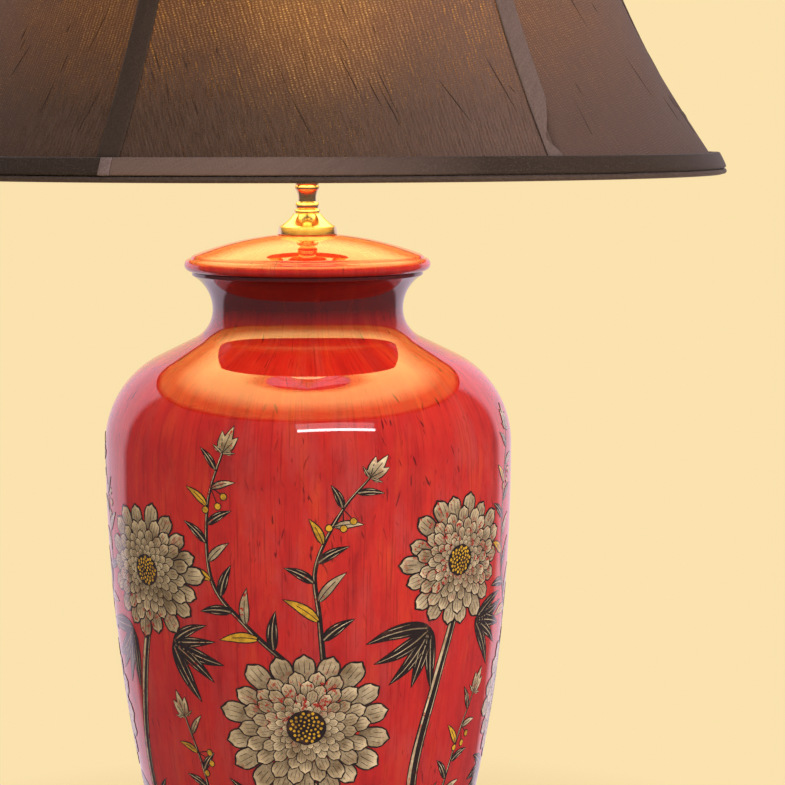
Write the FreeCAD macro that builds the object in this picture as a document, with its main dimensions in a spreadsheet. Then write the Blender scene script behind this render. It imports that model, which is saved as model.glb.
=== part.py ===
import FreeCAD, Part
import Sketcher
import math
import os

# A table lamp: a lacquered jar on a turned stand, a brass neck, a socket with its harp,
# and a six-sided bell shade of stretched silk. Millimetres, +Z up, Z = 0 is the table.

Vector = FreeCAD.Vector
doc = FreeCAD.newDocument("jar_lamp")
sheet = doc.addObject("Spreadsheet::Sheet", "sizes")
levels = doc.addObject("App::VarSet", "levels")
pieces = {}

# Driving sizes

SIZES = {
    "whole lamp": [
        ("lamp_height", 858.35, "from the table to the tip of the finial"),
        ("shade_width", 507.8, "shade across its rolled edge"),
    ],
    "stand": [
        ("felt_thickness", 2.0, "felt pad under the stand"),
        ("felt_inset", 4.0, "felt edge inside the stand's edge"),
        ("stand_radius", 92.0, "edge of the stand where the rounded base moulding starts"),
        ("stand_height", 28.0, "turned wooden stand"),
        ("base_moulding", 13.0, "height of the rounded base moulding"),
        ("moulding_radius", 7.2, "round of the base moulding"),
        ("stand_step", 3.0, "step in above the base moulding"),
        ("step_height", 2.0, "upright fillet above the base moulding"),
        ("cove_radius", 8.0, "hollow under the stand's rim"),
        ("rim_height", 3.0, "upright edge of the stand's rim"),
        ("seat_depth", 2.0, "recess that holds the jar's foot"),
        ("seat_rim", 4.0, "rim of the stand outside the jar's foot"),
        ("foot_clearance", 0.4, "play of the jar's foot in the recess"),
        ("recess_radius", 58.0, "hollow under the stand"),
        ("recess_depth", 14.0, "depth of the hollow under the stand"),
        ("cord_bore", 3.2, "bore of the cord bushing"),
        ("bushing_wall", 1.0, "wall of the cord bushing"),
        ("bushing_flange", 5.6, "flange of the cord bushing"),
        ("flange_thickness", 1.8, "thickness of the bushing's flange"),
        ("flange_clearance", 0.2, "play of the flange in its flat"),
        ("flat_level", 1.0, "flat that the flange sits on, outside the stand's edge"),
    ],
    "jar": [
        ("foot_radius", 86.0, "foot ring of the jar"),
        ("foot_height", 10.0, "height of the foot ring"),
        ("belly_radius", 125.4, "widest part of the jar"),
        ("belly_height", 292.0, "from the seat to the widest part"),
        ("belly_flat", 7.0, "upright stretch at the widest part"),
        ("body_curve", 1060.0, "long curve of the lower body"),
        ("shoulder_radius", 59.3, "round shoulder"),
        ("shoulder_slope", 64.0, "slope where the shoulder runs into the neck, degrees from upright"),
        ("neck_radius", 58.7, "narrowest part of the neck"),
        ("neck_curve", 20.0, "hollow below the narrowest part"),
        ("mouth_curve", 24.0, "hollow above the narrowest part"),
        ("mouth_slope", 61.0, "slope of the mouth, degrees from upright"),
        ("mouth_lip", 2.4, "upright edge of the mouth"),
        ("jar_wall", 6.0, "wall of the jar"),
        ("jar_floor", 9.0, "floor of the jar"),
    ],
    "lid": [
        ("lid_height", 21.4, "lid from its lip to the top of its dome"),
        ("lip_radius", 71.6, "lower corner of the lid's edge"),
        ("dome_radius", 280.0, "flat dome of the lid"),
        ("dome_edge", 58.0, "where the dome turns down"),
        ("roll_radius", 24.0, "turned-down edge of the dome"),
        ("roll_slope", 60.0, "slope where the edge turns under, degrees from level"),
        ("nose_radius", 2.7, "sharp round at the lid's edge"),
        ("lid_thickness", 7.0, "from the lip to the lid's ceiling"),
        ("spigot_depth", 8.0, "ring that centres the lid in the mouth"),
        ("spigot_wall", 5.0, "wall of that ring"),
        ("spigot_clearance", 0.8, "play of the ring in the mouth"),
    ],
    "brass": [
        ("cap_seat", 1.5, "flat of the lid outside the vase cap"),
        ("cap_radius", 17.5, "vase cap where its rounded edge starts"),
        ("cap_edge", 3.4, "height of the vase cap's edge"),
        ("cap_edge_round", 2.05, "round of the vase cap's edge"),
        ("cap_rim", 1.8, "flat ledge of the vase cap"),
        ("cap_height", 14.0, "vase cap from the lid to the neck"),
        ("cap_curve", 22.0, "hollow of the vase cap"),
        ("cap_top", 8.4, "top of the vase cap"),
        ("collar_height", 2.6, "ring on top of the vase cap"),
        ("collar_radius", 7.3, "edge of that ring"),
        ("collar_round", 1.6, "round of that ring"),
        ("bead_radius", 6.2, "edge of the bead above the ring"),
        ("bead_height", 3.4, "height of the bead"),
        ("bead_round", 2.1, "round of the bead"),
        ("waist_radius", 5.6, "waist of the neck"),
        ("waist_height", 3.6, "height of the waist"),
        ("flare_height", 4.8, "hollow flare above the waist"),
        ("flare_curve", 10.0, "curve of the flare"),
        ("ring_radius", 6.9, "edge of the upper rings"),
        ("ring_height", 3.0, "height of the upper rings"),
        ("ring_round", 2.2, "round of the upper rings"),
        ("table_radius", 9.2, "top of the neck, under the saddle"),
        ("table_height", 2.6, "thickness of that top"),
        ("cone_height", 4.6, "cone under that top"),
    ],
    "pipe": [
        ("pipe_radius", 4.75, "threaded lamp pipe, 1/8 IP"),
        ("pipe_bore", 3.3, "bore of the lamp pipe"),
        ("pipe_clearance", 0.15, "play of the turned pieces on the pipe"),
        ("pipe_hole", 6.0, "hole in the stand, the jar and the lid"),
        ("pipe_tail", 2.0, "pipe below the bottom nut"),
        ("pipe_reach", 5.0, "pipe inside the socket cap"),
        ("washer_radius", 15.0, "bottom washer"),
        ("washer_thickness", 1.6, "bottom washer"),
        ("nut_radius", 8.25, "corner of the hexagon nuts"),
        ("bottom_nut_height", 4.5, "bottom nut"),
        ("saddle_nut_height", 3.0, "nut on the saddle"),
    ],
    "socket": [
        ("socket_collar", 7.5, "collar of the socket cap"),
        ("collar_length", 5.0, "length of that collar"),
        ("shell_radius", 16.5, "brass shell of the socket"),
        ("shell_wall", 0.5, "wall of the brass shell"),
        ("shell_height", 50.0, "height of the brass shell"),
        ("shell_clearance", 0.1, "play of the shell in its cap"),
        ("cap_wall", 0.7, "wall of the socket cap"),
        ("cap_dome_height", 8.0, "domed part of the socket cap"),
        ("cap_skirt", 7.0, "straight skirt of the socket cap"),
        ("cap_dome_round", 10.3, "round of the socket cap's dome"),
        ("liner_wall", 0.7, "insulating sleeve"),
        ("liner_gap", 0.1, "play of the sleeve in the shell"),
        ("liner_drop", 3.0, "sleeve's upper edge below the shell's"),
        ("core_radius", 12.4, "lower part of the moulded core"),
        ("core_height", 20.0, "height of that part"),
        ("core_drop", 1.0, "core below the foot of the shell"),
        ("disc_height", 4.0, "disc that carries the screw shell"),
        ("disc_gap", 0.4, "play of the disc in the sleeve"),
        ("screw_wall", 0.5, "wall of the screw shell"),
        ("screw_height", 23.0, "height of the screw shell"),
        ("contact_radius", 4.0, "centre contact"),
        ("contact_face", 2.4, "upper face of the centre contact"),
        ("contact_thickness", 1.2, "centre contact"),
        ("terminal_radius", 2.4, "head of a terminal screw"),
        ("terminal_head", 1.0, "thickness of that head"),
        ("terminal_seat", 0.6, "round of the core that the head sits over"),
        ("terminal_lift", 6.0, "terminal screws above the foot of the core"),
    ],
    "switch": [
        ("shaft_radius", 1.6, "switch shaft"),
        ("shaft_clearance", 0.06, "running play of the shaft"),
        ("shaft_socket", 6.0, "shaft inside the moulded core"),
        ("shaft_end_gap", 1.0, "bore beyond the end of the shaft"),
        ("shaft_lift", 13.0, "shaft above the foot of the core"),
        ("window_radius", 3.6, "window for the shaft in shell and sleeve"),
        ("knob_gap", 3.0, "from the shell to the knob"),
        ("knob_radius", 5.0, "turn knob"),
        ("knob_neck", 3.5, "knob where it faces the shell"),
        ("knob_shoulder", 3.0, "length of the knob's cone"),
        ("knob_edge", 1.2, "round of the knob's outer edge"),
        ("knob_length", 15.0, "turn knob"),
        ("knob_bore_depth", 9.0, "shaft inside the knob"),
        ("flute_count", 10, "flutes of the knob"),
        ("flute_radius", 0.8, "flutes of the knob"),
        ("flute_offset", 0.3, "middle of a flute outside the knob"),
    ],
    "harp": [
        ("saddle_span", 27.0, "from the axis to each ear of the saddle"),
        ("saddle_width", 12.0, "strip of the saddle"),
        ("saddle_thickness", 1.6, "strip of the saddle"),
        ("ear_width", 5.0, "ear of the saddle"),
        ("ear_height", 12.0, "ear above the strip"),
        ("rest_gap", 0.3, "gap where one moving piece rests on another"),
        ("slot_clearance", 0.4, "play of the ear in the harp's foot"),
        ("harp_foot_radius", 4.2, "foot of the harp"),
        ("harp_foot_height", 14.0, "foot of the harp"),
        ("wire_seat", 1.0, "wire inside the harp's foot"),
        ("sleeve_clearance", 0.3, "play of the sleeve round the foot"),
        ("sleeve_wall", 1.0, "wall of the sleeve"),
        ("sleeve_height", 17.0, "sleeve that locks the harp"),
        ("wire_radius", 2.2, "wire of the harp"),
        ("leg_height", 40.0, "upright leg above the saddle"),
        ("harp_half_width", 56.0, "from the axis to the harp's side"),
        ("bend_radius", 34.0, "bends of the harp's legs"),
        ("harp_flat", 10.0, "half of the straight stretch at the harp's top"),
        ("drum_radius", 5.4, "drum that holds the swivel"),
        ("drum_height", 9.0, "drum that holds the swivel"),
        ("rivet_radius", 2.4, "shank of the swivel"),
        ("rivet_head", 4.0, "head of the swivel's rivet"),
        ("rivet_head_height", 1.6, "head of the swivel's rivet"),
        ("table_disc_radius", 9.0, "disc that the shade rests on"),
        ("table_disc_height", 2.0, "disc that the shade rests on"),
        ("stud_radius", 3.175, "threaded stud, 1/4-27"),
        ("stud_height", 10.0, "threaded stud"),
    ],
    "bulb": [
        ("bulb_cap_radius", 13.1, "screw cap of the bulb, E26"),
        ("bulb_cap_height", 26.0, "screw cap of the bulb"),
        ("bulb_cap_wall", 0.6, "screw cap of the bulb"),
        ("screw_clearance", 0.1, "play of a screw in its thread"),
        ("bulb_cone", 3.9, "cone between the tip and the thread"),
        ("tip_radius", 5.4, "insulated tip of the bulb"),
        ("tip_face", 3.2, "lower face of the tip"),
        ("tip_height", 2.4, "insulated tip of the bulb"),
        ("bulb_radius", 30.0, "glass of the bulb"),
        ("bulb_centre", 80.0, "from the tip to the middle of the glass"),
        ("glass_neck", 13.6, "neck of the glass"),
        ("glass_curve", 34.0, "hollow between the neck and the round of the glass"),
        ("glass_wall", 1.0, "wall of the glass"),
        ("glass_spigot", 4.0, "neck of the glass inside the cap"),
    ],
    "shade": [
        ("shade_top_radius", 127.0, "silk at the shade's upper edge"),
        ("shade_height", 337.0, "upright height of the silk"),
        ("flare_angle", 33.4, "flare at the lower edge, degrees from upright"),
        ("rib_count", 6, "ribs of the shade"),
        ("first_rib_angle", -115.5, "even heading of the first rib, degrees from +X"),
        ("first_rib_shift", 3.2, "how far the first rib was set off its even heading, degrees"),
        ("flatness_ratio", 0.5, "how far the silk runs straight between ribs, of the full round"),
        ("silk_thickness", 0.9, "silk on its backing"),
        ("section_count", 9, "level sections that each skin is lofted through"),
        ("frame_gap", 0.3, "gap between silk and frame"),
        ("rib_wire", 1.6, "radius of the rib wire"),
        ("ring_wire", 2.0, "radius of the ring wire"),
        ("ring_inset", 3.5, "rings from the ends of the silk"),
        ("lining_thickness", 0.7, "lining"),
        ("lining_margin", 9.0, "lining's ends from the ends of the silk"),
        ("tape_width", 11.0, "bias tape over each rib"),
        ("tape_thickness", 0.7, "bias tape over each rib"),
        ("tape_gap", 0.2, "gap between silk and tape"),
        ("band_foot", 3.5, "lower edge of the trim band"),
        ("band_height", 9.2, "trim band"),
        ("band_foot_proud", 4.3, "trim band outside the silk at its lower edge"),
        ("band_top_proud", 6.2, "trim band outside the silk at its upper edge"),
        ("roll_edge_radius", 1.5, "rolled lower edge"),
        ("top_band_height", 10.0, "upper trim band"),
        ("top_band_thickness", 1.4, "upper trim band"),
        ("spider_drop", 12.0, "hub of the spider below the silk's upper edge"),
        ("hub_radius", 15.0, "hub of the spider"),
        ("hub_thickness", 1.6, "hub of the spider"),
        ("hub_hole", 3.6, "hole for the stud"),
        ("arm_wire", 2.0, "radius of the spider's arms"),
        ("arm_count", 3, "arms of the spider"),
    ],
    "finial": [
        ("finial_foot", 7.5, "foot of the finial"),
        ("finial_step", 2.0, "upright edge of that foot"),
        ("finial_cove", 15.75, "hollow of the foot"),
        ("finial_web", 1.2, "brass between the thread and the peg's bore"),
        ("finial_radius", 10.5, "ball of the finial"),
        ("finial_peg", 2.0, "peg of the ball in the foot"),
        ("finial_peg_length", 3.0, "peg of the ball in the foot"),
        ("finial_neck", 5.2, "underside of the ball"),
        ("finial_lift", 3.0, "neck of the ball above the foot"),
        ("finial_tip", 3.2, "bead on top of the ball"),
        ("finial_tip_neck", 1.9, "neck of that bead"),
    ],
}


def fill_sheet():
    row = 1
    for group, lines in SIZES.items():
        sheet.set(f"A{row}", group)
        row += 1
        for name, number, meaning in lines:
            sheet.set(f"A{row}", name)
            sheet.set(f"B{row}", str(number))
            sheet.set(f"C{row}", meaning)
            sheet.setAlias(f"B{row}", name)
            row += 1
    doc.recompute()


def value(formula):
    result = sheet.evalExpression(formula)
    return float(getattr(result, "Value", result))


def level(name, formula):
    levels.addProperty("App::PropertyFloat", name, "Levels")
    levels.setExpression(name, formula)
    doc.recompute([levels])


# Sketches and turned pieces

def new_sketch(body, name, role, lift=None):
    sketch = body.newObject("Sketcher::SketchObject", name)
    plane = next(item for item in body.Origin.OriginFeatures if item.Role == role)
    sketch.AttachmentSupport = [(plane, "")]
    sketch.MapMode = "FlatFace"
    if lift:
        sketch.setExpression("AttachmentOffset.Base.z", lift)
    return sketch


def hold_length(sketch, kind, first, second, formula):
    # A negative distance is held the other way round, so each datum stays positive.
    number = value(formula)
    if number < 0:
        first, second, formula, number = second, first, f"-({formula})", -number
    index = sketch.addConstraint(Sketcher.Constraint(kind, *first, *second, number))
    sketch.setExpression(f"Constraints[{index}]", formula)


def hold_point(sketch, point, across, up):
    for kind, formula, axis in (("DistanceX", across, -2), ("DistanceY", up, -1)):
        if formula == "0":
            sketch.addConstraint(Sketcher.Constraint("PointOnObject", *point, axis))
        else:
            hold_length(sketch, kind, (-1, 1), point, formula)


def arc_between(tail, head, radius, turn):
    half = (head - tail) / 2
    left = Vector(-half.y, half.x, 0)
    left.normalize()
    side = 1 if turn == "left" else -1
    centre = tail + half + left * side * math.sqrt(max(0, radius ** 2 - half.Length ** 2))
    start, end = (tail, head) if turn == "left" else (head, tail)
    begin = math.atan2(start.y - centre.y, start.x - centre.x)
    finish = math.atan2(end.y - centre.y, end.x - centre.x)
    return Part.ArcOfCircle(Part.Circle(centre, Vector(0, 0, 1), radius), begin, finish)


def draw(sketch, corners, closed=True):
    # Each corner is (across, up) at the end of a straight line, or (across, up, radius, turn)
    # at the end of an arc that turns left or right on the way there.
    route = corners + ([corners[0]] if closed else [])
    points = [Vector(value(corner[0]), value(corner[1]), 0) for corner in route]
    edges = []
    for tail, head, corner in zip(points, points[1:], route[1:]):
        if len(corner) == 2:
            index = sketch.addGeometry(Part.LineSegment(tail, head), False)
            edges.append(((index, 1), (index, 2)))
            continue
        index = sketch.addGeometry(arc_between(tail, head, value(corner[2]), corner[3]), False)
        ends = ((index, 1), (index, 2))
        edges.append(ends if corner[3] == "left" else ends[::-1])
    hold_point(sketch, edges[0][0], *corners[0])
    for before, after in zip(edges, edges[1:]):
        sketch.addConstraint(Sketcher.Constraint("Coincident", *before[1], *after[0]))
    if closed:
        sketch.addConstraint(Sketcher.Constraint("Coincident", *edges[-1][1], *edges[0][0]))
    for edge, corner in zip(edges, corners[1:]):
        hold_point(sketch, edge[1], corner[0], corner[1])
        if len(corner) == 4:
            index = sketch.addConstraint(Sketcher.Constraint("Radius", edge[0][0], value(corner[2])))
            sketch.setExpression(f"Constraints[{index}]", corner[2])
    doc.recompute([sketch])


def draw_circle(sketch, across, up, radius):
    centre = Vector(value(across), value(up), 0)
    index = sketch.addGeometry(Part.Circle(centre, Vector(0, 0, 1), value(radius)), False)
    hold_point(sketch, (index, 3), across, up)
    datum = sketch.addConstraint(Sketcher.Constraint("Radius", index, value(radius)))
    sketch.setExpression(f"Constraints[{datum}]", radius)


def draw_box(sketch, left, low, right, high):
    draw(sketch, [(left, low), (right, low), (right, high), (left, high)])


def new_body(label):
    body = doc.addObject("PartDesign::Body", label)
    pieces[label] = body
    return body


def turned(label, corners):
    body = new_body(label)
    outline = new_sketch(body, f"{label}_outline", "XZ_Plane")
    draw(outline, corners)
    turning = body.newObject("PartDesign::Revolution", f"{label}_turning")
    turning.Profile = outline
    turning.ReferenceAxis = (outline, ["V_Axis"])
    turning.Angle = 360
    return body


def tube(label, inner, outer, low, high):
    return turned(label, [(inner, low), (outer, low), (outer, high), (inner, high)])


def pad(body, sketch, length):
    feature = body.newObject("PartDesign::Pad", f"{sketch.Name}_pad")
    feature.Profile = sketch
    feature.setExpression("Length", length)
    return feature


def pocket(body, sketch, length=None, upward=True):
    feature = body.newObject("PartDesign::Pocket", f"{sketch.Name}_pocket")
    feature.Profile = sketch
    feature.Reversed = upward
    if length:
        feature.setExpression("Length", length)
    else:
        feature.Type = "ThroughAll"
    return feature


def primitive(kind, name, **formulas):
    item = doc.addObject(kind, name)
    for prop, formula in formulas.items():
        item.setExpression(prop, formula)
    return item


def cut(label, base, tool):
    result = doc.addObject("Part::Cut", label)
    result.Base = base
    result.Tool = tool
    return result


def set_place(item, position, rotation=FreeCAD.Rotation()):
    item.Placement = FreeCAD.Placement(position, rotation)


# Levels and derived radii

def set_levels():
    level("stand_top", "sizes.felt_thickness + sizes.stand_height")
    level("jar_seat", "levels.stand_top - sizes.seat_depth")
    level("foot_seat_radius", "sizes.foot_radius + sizes.foot_clearance")
    level("belly_start", "levels.jar_seat + sizes.belly_height")
    level("shoulder_start", "levels.belly_start + sizes.belly_flat")
    level("shoulder_end", "levels.shoulder_start + sizes.shoulder_radius * sin(sizes.shoulder_slope)")
    level("shoulder_end_radius",
          "sizes.belly_radius - sizes.shoulder_radius * (1 - cos(sizes.shoulder_slope))")
    level("neck_start_radius", "sizes.neck_radius + sizes.neck_curve * (1 - cos(sizes.shoulder_slope))")
    level("neck_start", "levels.shoulder_end"
          " + (levels.shoulder_end_radius - levels.neck_start_radius) / tan(sizes.shoulder_slope)")
    level("waist", "levels.neck_start + sizes.neck_curve * sin(sizes.shoulder_slope)")
    level("flare_end", "levels.waist + sizes.mouth_curve * sin(sizes.mouth_slope)")
    level("mouth_radius", "sizes.neck_radius + sizes.mouth_curve * (1 - cos(sizes.mouth_slope))")
    level("mouth", "levels.flare_end + sizes.mouth_lip")
    level("mouth_bore", "sizes.neck_radius - sizes.jar_wall")
    level("dome_top", "levels.mouth + sizes.lid_height")
    level("dome_edge_level", "levels.dome_top - sizes.dome_radius"
          " + sqrt(sizes.dome_radius ^ 2 - sizes.dome_edge ^ 2)")
    level("lid_flat_radius", "sizes.cap_radius + sizes.cap_seat")
    level("lid_flat", "levels.dome_top - sizes.dome_radius"
          " + sqrt(sizes.dome_radius ^ 2 - levels.lid_flat_radius ^ 2)")
    level("neck_foot", "levels.lid_flat + sizes.cap_height")
    level("bead_foot", "levels.neck_foot + sizes.collar_height")
    level("waist_foot", "levels.bead_foot + sizes.bead_height")
    level("flare_foot", "levels.waist_foot + sizes.waist_height")
    level("ring_foot", "levels.flare_foot + sizes.flare_height")
    level("second_ring", "levels.ring_foot + sizes.ring_height")
    level("cone_foot", "levels.second_ring + sizes.ring_height")
    level("table_foot", "levels.cone_foot + sizes.cone_height")
    level("neck_top", "levels.table_foot + sizes.table_height")
    level("saddle_top", "levels.neck_top + sizes.saddle_thickness")
    level("socket_foot", "levels.saddle_top + sizes.saddle_nut_height")
    level("turned_bore", "sizes.pipe_radius + sizes.pipe_clearance")
    level("recess_ceiling", "sizes.felt_thickness + sizes.recess_depth")
    level("washer_foot", "levels.recess_ceiling - sizes.washer_thickness")
    level("bottom_nut_foot", "levels.washer_foot - sizes.bottom_nut_height")
    level("pipe_foot", "levels.bottom_nut_foot - sizes.pipe_tail")
    level("pipe_top", "levels.socket_foot + sizes.pipe_reach")


def set_socket_levels():
    level("cap_dome_foot", "levels.socket_foot + sizes.collar_length")
    level("cap_dome_top", "levels.cap_dome_foot + sizes.cap_dome_height")
    level("cap_rim", "levels.cap_dome_top + sizes.cap_skirt")
    level("cap_inner", "sizes.shell_radius + sizes.shell_clearance")
    level("cap_outer", "levels.cap_inner + sizes.cap_wall")
    level("shell_top", "levels.cap_dome_top + sizes.shell_height")
    level("liner_outer", "sizes.shell_radius - sizes.shell_wall - sizes.liner_gap")
    level("liner_inner", "levels.liner_outer - sizes.liner_wall")
    level("core_foot", "levels.cap_dome_top - sizes.core_drop")
    level("disc_foot", "levels.core_foot + sizes.core_height")
    level("disc_top", "levels.disc_foot + sizes.disc_height")
    level("disc_radius", "levels.liner_inner - sizes.disc_gap")
    level("screw_inner", "sizes.bulb_cap_radius + sizes.screw_clearance")
    level("screw_outer", "levels.screw_inner + sizes.screw_wall")
    level("shaft_level", "levels.core_foot + sizes.shaft_lift")
    level("bulb_foot", "levels.disc_top + sizes.contact_thickness + sizes.rest_gap")
    level("cap_top_level", "levels.bulb_foot + sizes.bulb_cap_height")
    level("glass_foot", "levels.cap_top_level - sizes.glass_spigot")
    level("glass_shoulder", "levels.cap_top_level + sizes.rest_gap")
    level("glass_centre", "levels.bulb_foot + sizes.bulb_centre")
    level("glass_reach", "sizes.bulb_radius + sizes.glass_curve")
    level("curve_foot", "levels.glass_centre"
          " - sqrt(levels.glass_reach ^ 2 - (sizes.glass_neck + sizes.glass_curve) ^ 2)")
    level("round_share", "sizes.bulb_radius / levels.glass_reach")
    level("round_foot", "levels.glass_centre"
          " - (levels.glass_centre - levels.curve_foot) * levels.round_share")
    level("round_foot_radius", "(sizes.glass_neck + sizes.glass_curve) * levels.round_share")


def set_harp_levels():
    level("harp_foot", "levels.saddle_top + sizes.rest_gap")
    level("harp_foot_middle", "levels.harp_foot + sizes.harp_foot_height - sizes.wire_seat")
    level("sleeve_inner", "sizes.harp_foot_radius + sizes.sleeve_clearance")
    level("sleeve_outer", "levels.sleeve_inner + sizes.sleeve_wall")
    level("leg_top", "levels.harp_foot + sizes.leg_height")
    level("leg_shift", "sizes.harp_half_width - sizes.saddle_span")
    level("bend_height", "sqrt(4 * sizes.bend_radius * levels.leg_shift - levels.leg_shift ^ 2)")
    level("side_foot", "levels.leg_top + levels.bend_height")
    level("finial_ball_reach", "sqrt(sizes.finial_radius ^ 2 - sizes.finial_neck ^ 2)"
          " + sqrt(sizes.finial_radius ^ 2 - sizes.finial_tip_neck ^ 2)")
    level("finial_tip_reach", "sizes.finial_tip + sqrt(sizes.finial_tip ^ 2 - sizes.finial_tip_neck ^ 2)")
    level("finial_reach", "sizes.stud_height + 3 * sizes.rest_gap + sizes.finial_web"
          " + sizes.finial_peg_length + sizes.finial_lift + levels.finial_ball_reach"
          " + levels.finial_tip_reach")
    level("harp_top", "sizes.lamp_height - levels.finial_reach - sizes.table_disc_height - sizes.rest_gap"
          " - sizes.drum_height / 2")
    level("arch_radius", "sizes.harp_half_width - sizes.harp_flat")
    level("drum_foot", "levels.harp_top - sizes.drum_height / 2")
    level("drum_top", "levels.drum_foot + sizes.drum_height")
    level("disc_seat", "levels.drum_top + sizes.rest_gap")
    level("hub_seat", "levels.disc_seat + sizes.table_disc_height")
    level("hub_foot", "levels.hub_seat + sizes.rest_gap")
    level("hub_top", "levels.hub_foot + sizes.hub_thickness")
    level("stud_top", "levels.hub_seat + sizes.stud_height")


def set_shade_levels():
    level("shade_foot", "levels.hub_top + sizes.spider_drop - sizes.shade_height")
    level("shade_top", "levels.shade_foot + sizes.shade_height")
    level("silk_foot_radius", "sizes.shade_width / 2 - 2 * sizes.roll_edge_radius - sizes.frame_gap"
          " + sizes.roll_edge_radius * tan(sizes.flare_angle)")
    level("shade_shrink", "levels.silk_foot_radius - sizes.shade_top_radius")
    level("bell_curve", "(levels.shade_shrink ^ 2 + sizes.shade_height ^ 2) / 2"
          " / (sizes.shade_height * sin(sizes.flare_angle) - levels.shade_shrink * cos(sizes.flare_angle))")
    level("bell_centre_radius", "levels.silk_foot_radius + levels.bell_curve * cos(sizes.flare_angle)")
    level("bell_centre", "levels.shade_foot + levels.bell_curve * sin(sizes.flare_angle)")
    level("rib_depth", "sizes.silk_thickness + sizes.frame_gap + sizes.rib_wire")
    level("ring_depth", "sizes.silk_thickness + sizes.frame_gap + sizes.ring_wire")
    level("lining_depth", "levels.rib_depth + sizes.rib_wire + sizes.frame_gap")
    level("bottom_ring_level", "levels.shade_foot + sizes.ring_inset")
    level("top_ring_level", "levels.shade_top - sizes.ring_inset")
    level("band_foot_level", "levels.shade_foot + sizes.band_foot")
    level("band_top_level", "levels.band_foot_level + sizes.band_height")
    level("top_band_foot", "levels.shade_top - sizes.top_band_height")


def bell_radius(depth, height):
    # Radius of the bell at a height: its outline is one arc about a centre outside the shade.
    return (f"levels.bell_centre_radius - sqrt((levels.bell_curve + {depth}) ^ 2"
            f" - (levels.bell_centre - ({height})) ^ 2)")


# Stand, jar and lid

def make_stand():
    pad_radius = "sizes.stand_radius - sizes.felt_inset"
    turned("felt_pad", [("0", "0"), (pad_radius, "0"), (pad_radius, "sizes.felt_thickness"),
                        ("0", "sizes.felt_thickness")])
    moulding_top = "sizes.felt_thickness + sizes.base_moulding"
    step_radius = "sizes.stand_radius - sizes.stand_step"
    rim_radius = "levels.foot_seat_radius + sizes.seat_rim"
    stand = turned("stand", [
        ("sizes.recess_radius", "sizes.felt_thickness"),
        ("sizes.stand_radius", "sizes.felt_thickness"),
        ("sizes.stand_radius", moulding_top, "sizes.moulding_radius", "left"),
        (step_radius, moulding_top),
        (step_radius, f"{moulding_top} + sizes.step_height"),
        (rim_radius, "levels.stand_top - sizes.rim_height", "sizes.cove_radius", "right"),
        (rim_radius, "levels.stand_top"),
        ("levels.foot_seat_radius", "levels.stand_top"),
        ("levels.foot_seat_radius", "levels.jar_seat"),
        ("sizes.pipe_hole", "levels.jar_seat"),
        ("sizes.pipe_hole", "levels.recess_ceiling"),
        ("sizes.recess_radius", "levels.recess_ceiling")])
    bore_level = "sizes.felt_thickness + sizes.base_moulding / 2"
    bore = new_sketch(stand, "cord_hole", "XZ_Plane")
    draw_circle(bore, "0", bore_level, "sizes.cord_bore + sizes.bushing_wall")
    pocket(stand, bore, upward=False)
    flat = new_sketch(stand, "bushing_seat", "XZ_Plane", "-(sizes.stand_radius + sizes.flat_level)")
    draw_circle(flat, "0", bore_level, "sizes.bushing_flange + sizes.flange_clearance")
    pocket(stand, flat, upward=False)
    barrel = "sizes.cord_bore + sizes.bushing_wall"
    wall = "sizes.stand_radius + sizes.flat_level - sizes.recess_radius"
    bushing = turned("cord_bushing", [
        ("sizes.cord_bore", f"-({wall})"),
        (barrel, f"-({wall})"),
        (barrel, "0"),
        ("sizes.bushing_flange", "0"),
        ("sizes.bushing_flange", "sizes.flange_thickness"),
        ("sizes.cord_bore", "sizes.flange_thickness")])
    set_place(bushing, Vector(0, value("sizes.stand_radius + sizes.flat_level"), value(bore_level)),
              FreeCAD.Rotation(Vector(1, 0, 0), -90))


def make_jar():
    drop = "(levels.belly_start - levels.jar_seat - sizes.foot_height)"
    body_start = f"sizes.belly_radius - sizes.body_curve + sqrt(sizes.body_curve ^ 2 - {drop} ^ 2)"
    inner_curve = "(sizes.body_curve - sizes.jar_wall)"
    floor_top = "levels.jar_seat + sizes.jar_floor"
    inner_drop = "(levels.belly_start - levels.jar_seat - sizes.jar_floor)"
    floor_radius = f"sizes.belly_radius - sizes.body_curve + sqrt({inner_curve} ^ 2 - {inner_drop} ^ 2)"
    inner_belly = "sizes.belly_radius - sizes.jar_wall"
    inner_end_radius = "levels.shoulder_end_radius - sizes.jar_wall * cos(sizes.shoulder_slope)"
    inner_end = "levels.shoulder_end - sizes.jar_wall * sin(sizes.shoulder_slope)"
    inner_neck = f"{inner_end} + ({inner_end_radius} - levels.mouth_bore) / tan(sizes.shoulder_slope)"
    foot_top = "levels.jar_seat + sizes.foot_height"
    turned("jar", [
        ("sizes.pipe_hole", "levels.jar_seat"),
        ("sizes.foot_radius", "levels.jar_seat"),
        ("sizes.foot_radius", foot_top),
        (body_start, foot_top),
        ("sizes.belly_radius", "levels.belly_start", "sizes.body_curve", "left"),
        ("sizes.belly_radius", "levels.shoulder_start"),
        ("levels.shoulder_end_radius", "levels.shoulder_end", "sizes.shoulder_radius", "left"),
        ("levels.neck_start_radius", "levels.neck_start"),
        ("sizes.neck_radius", "levels.waist", "sizes.neck_curve", "right"),
        ("levels.mouth_radius", "levels.flare_end", "sizes.mouth_curve", "right"),
        ("levels.mouth_radius", "levels.mouth"),
        ("levels.mouth_bore", "levels.mouth"),
        ("levels.mouth_bore", inner_neck),
        (inner_end_radius, inner_end),
        (inner_belly, "levels.shoulder_start", "sizes.shoulder_radius - sizes.jar_wall", "right"),
        (inner_belly, "levels.belly_start"),
        (floor_radius, floor_top, inner_curve, "right"),
        ("sizes.pipe_hole", floor_top)])


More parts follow.
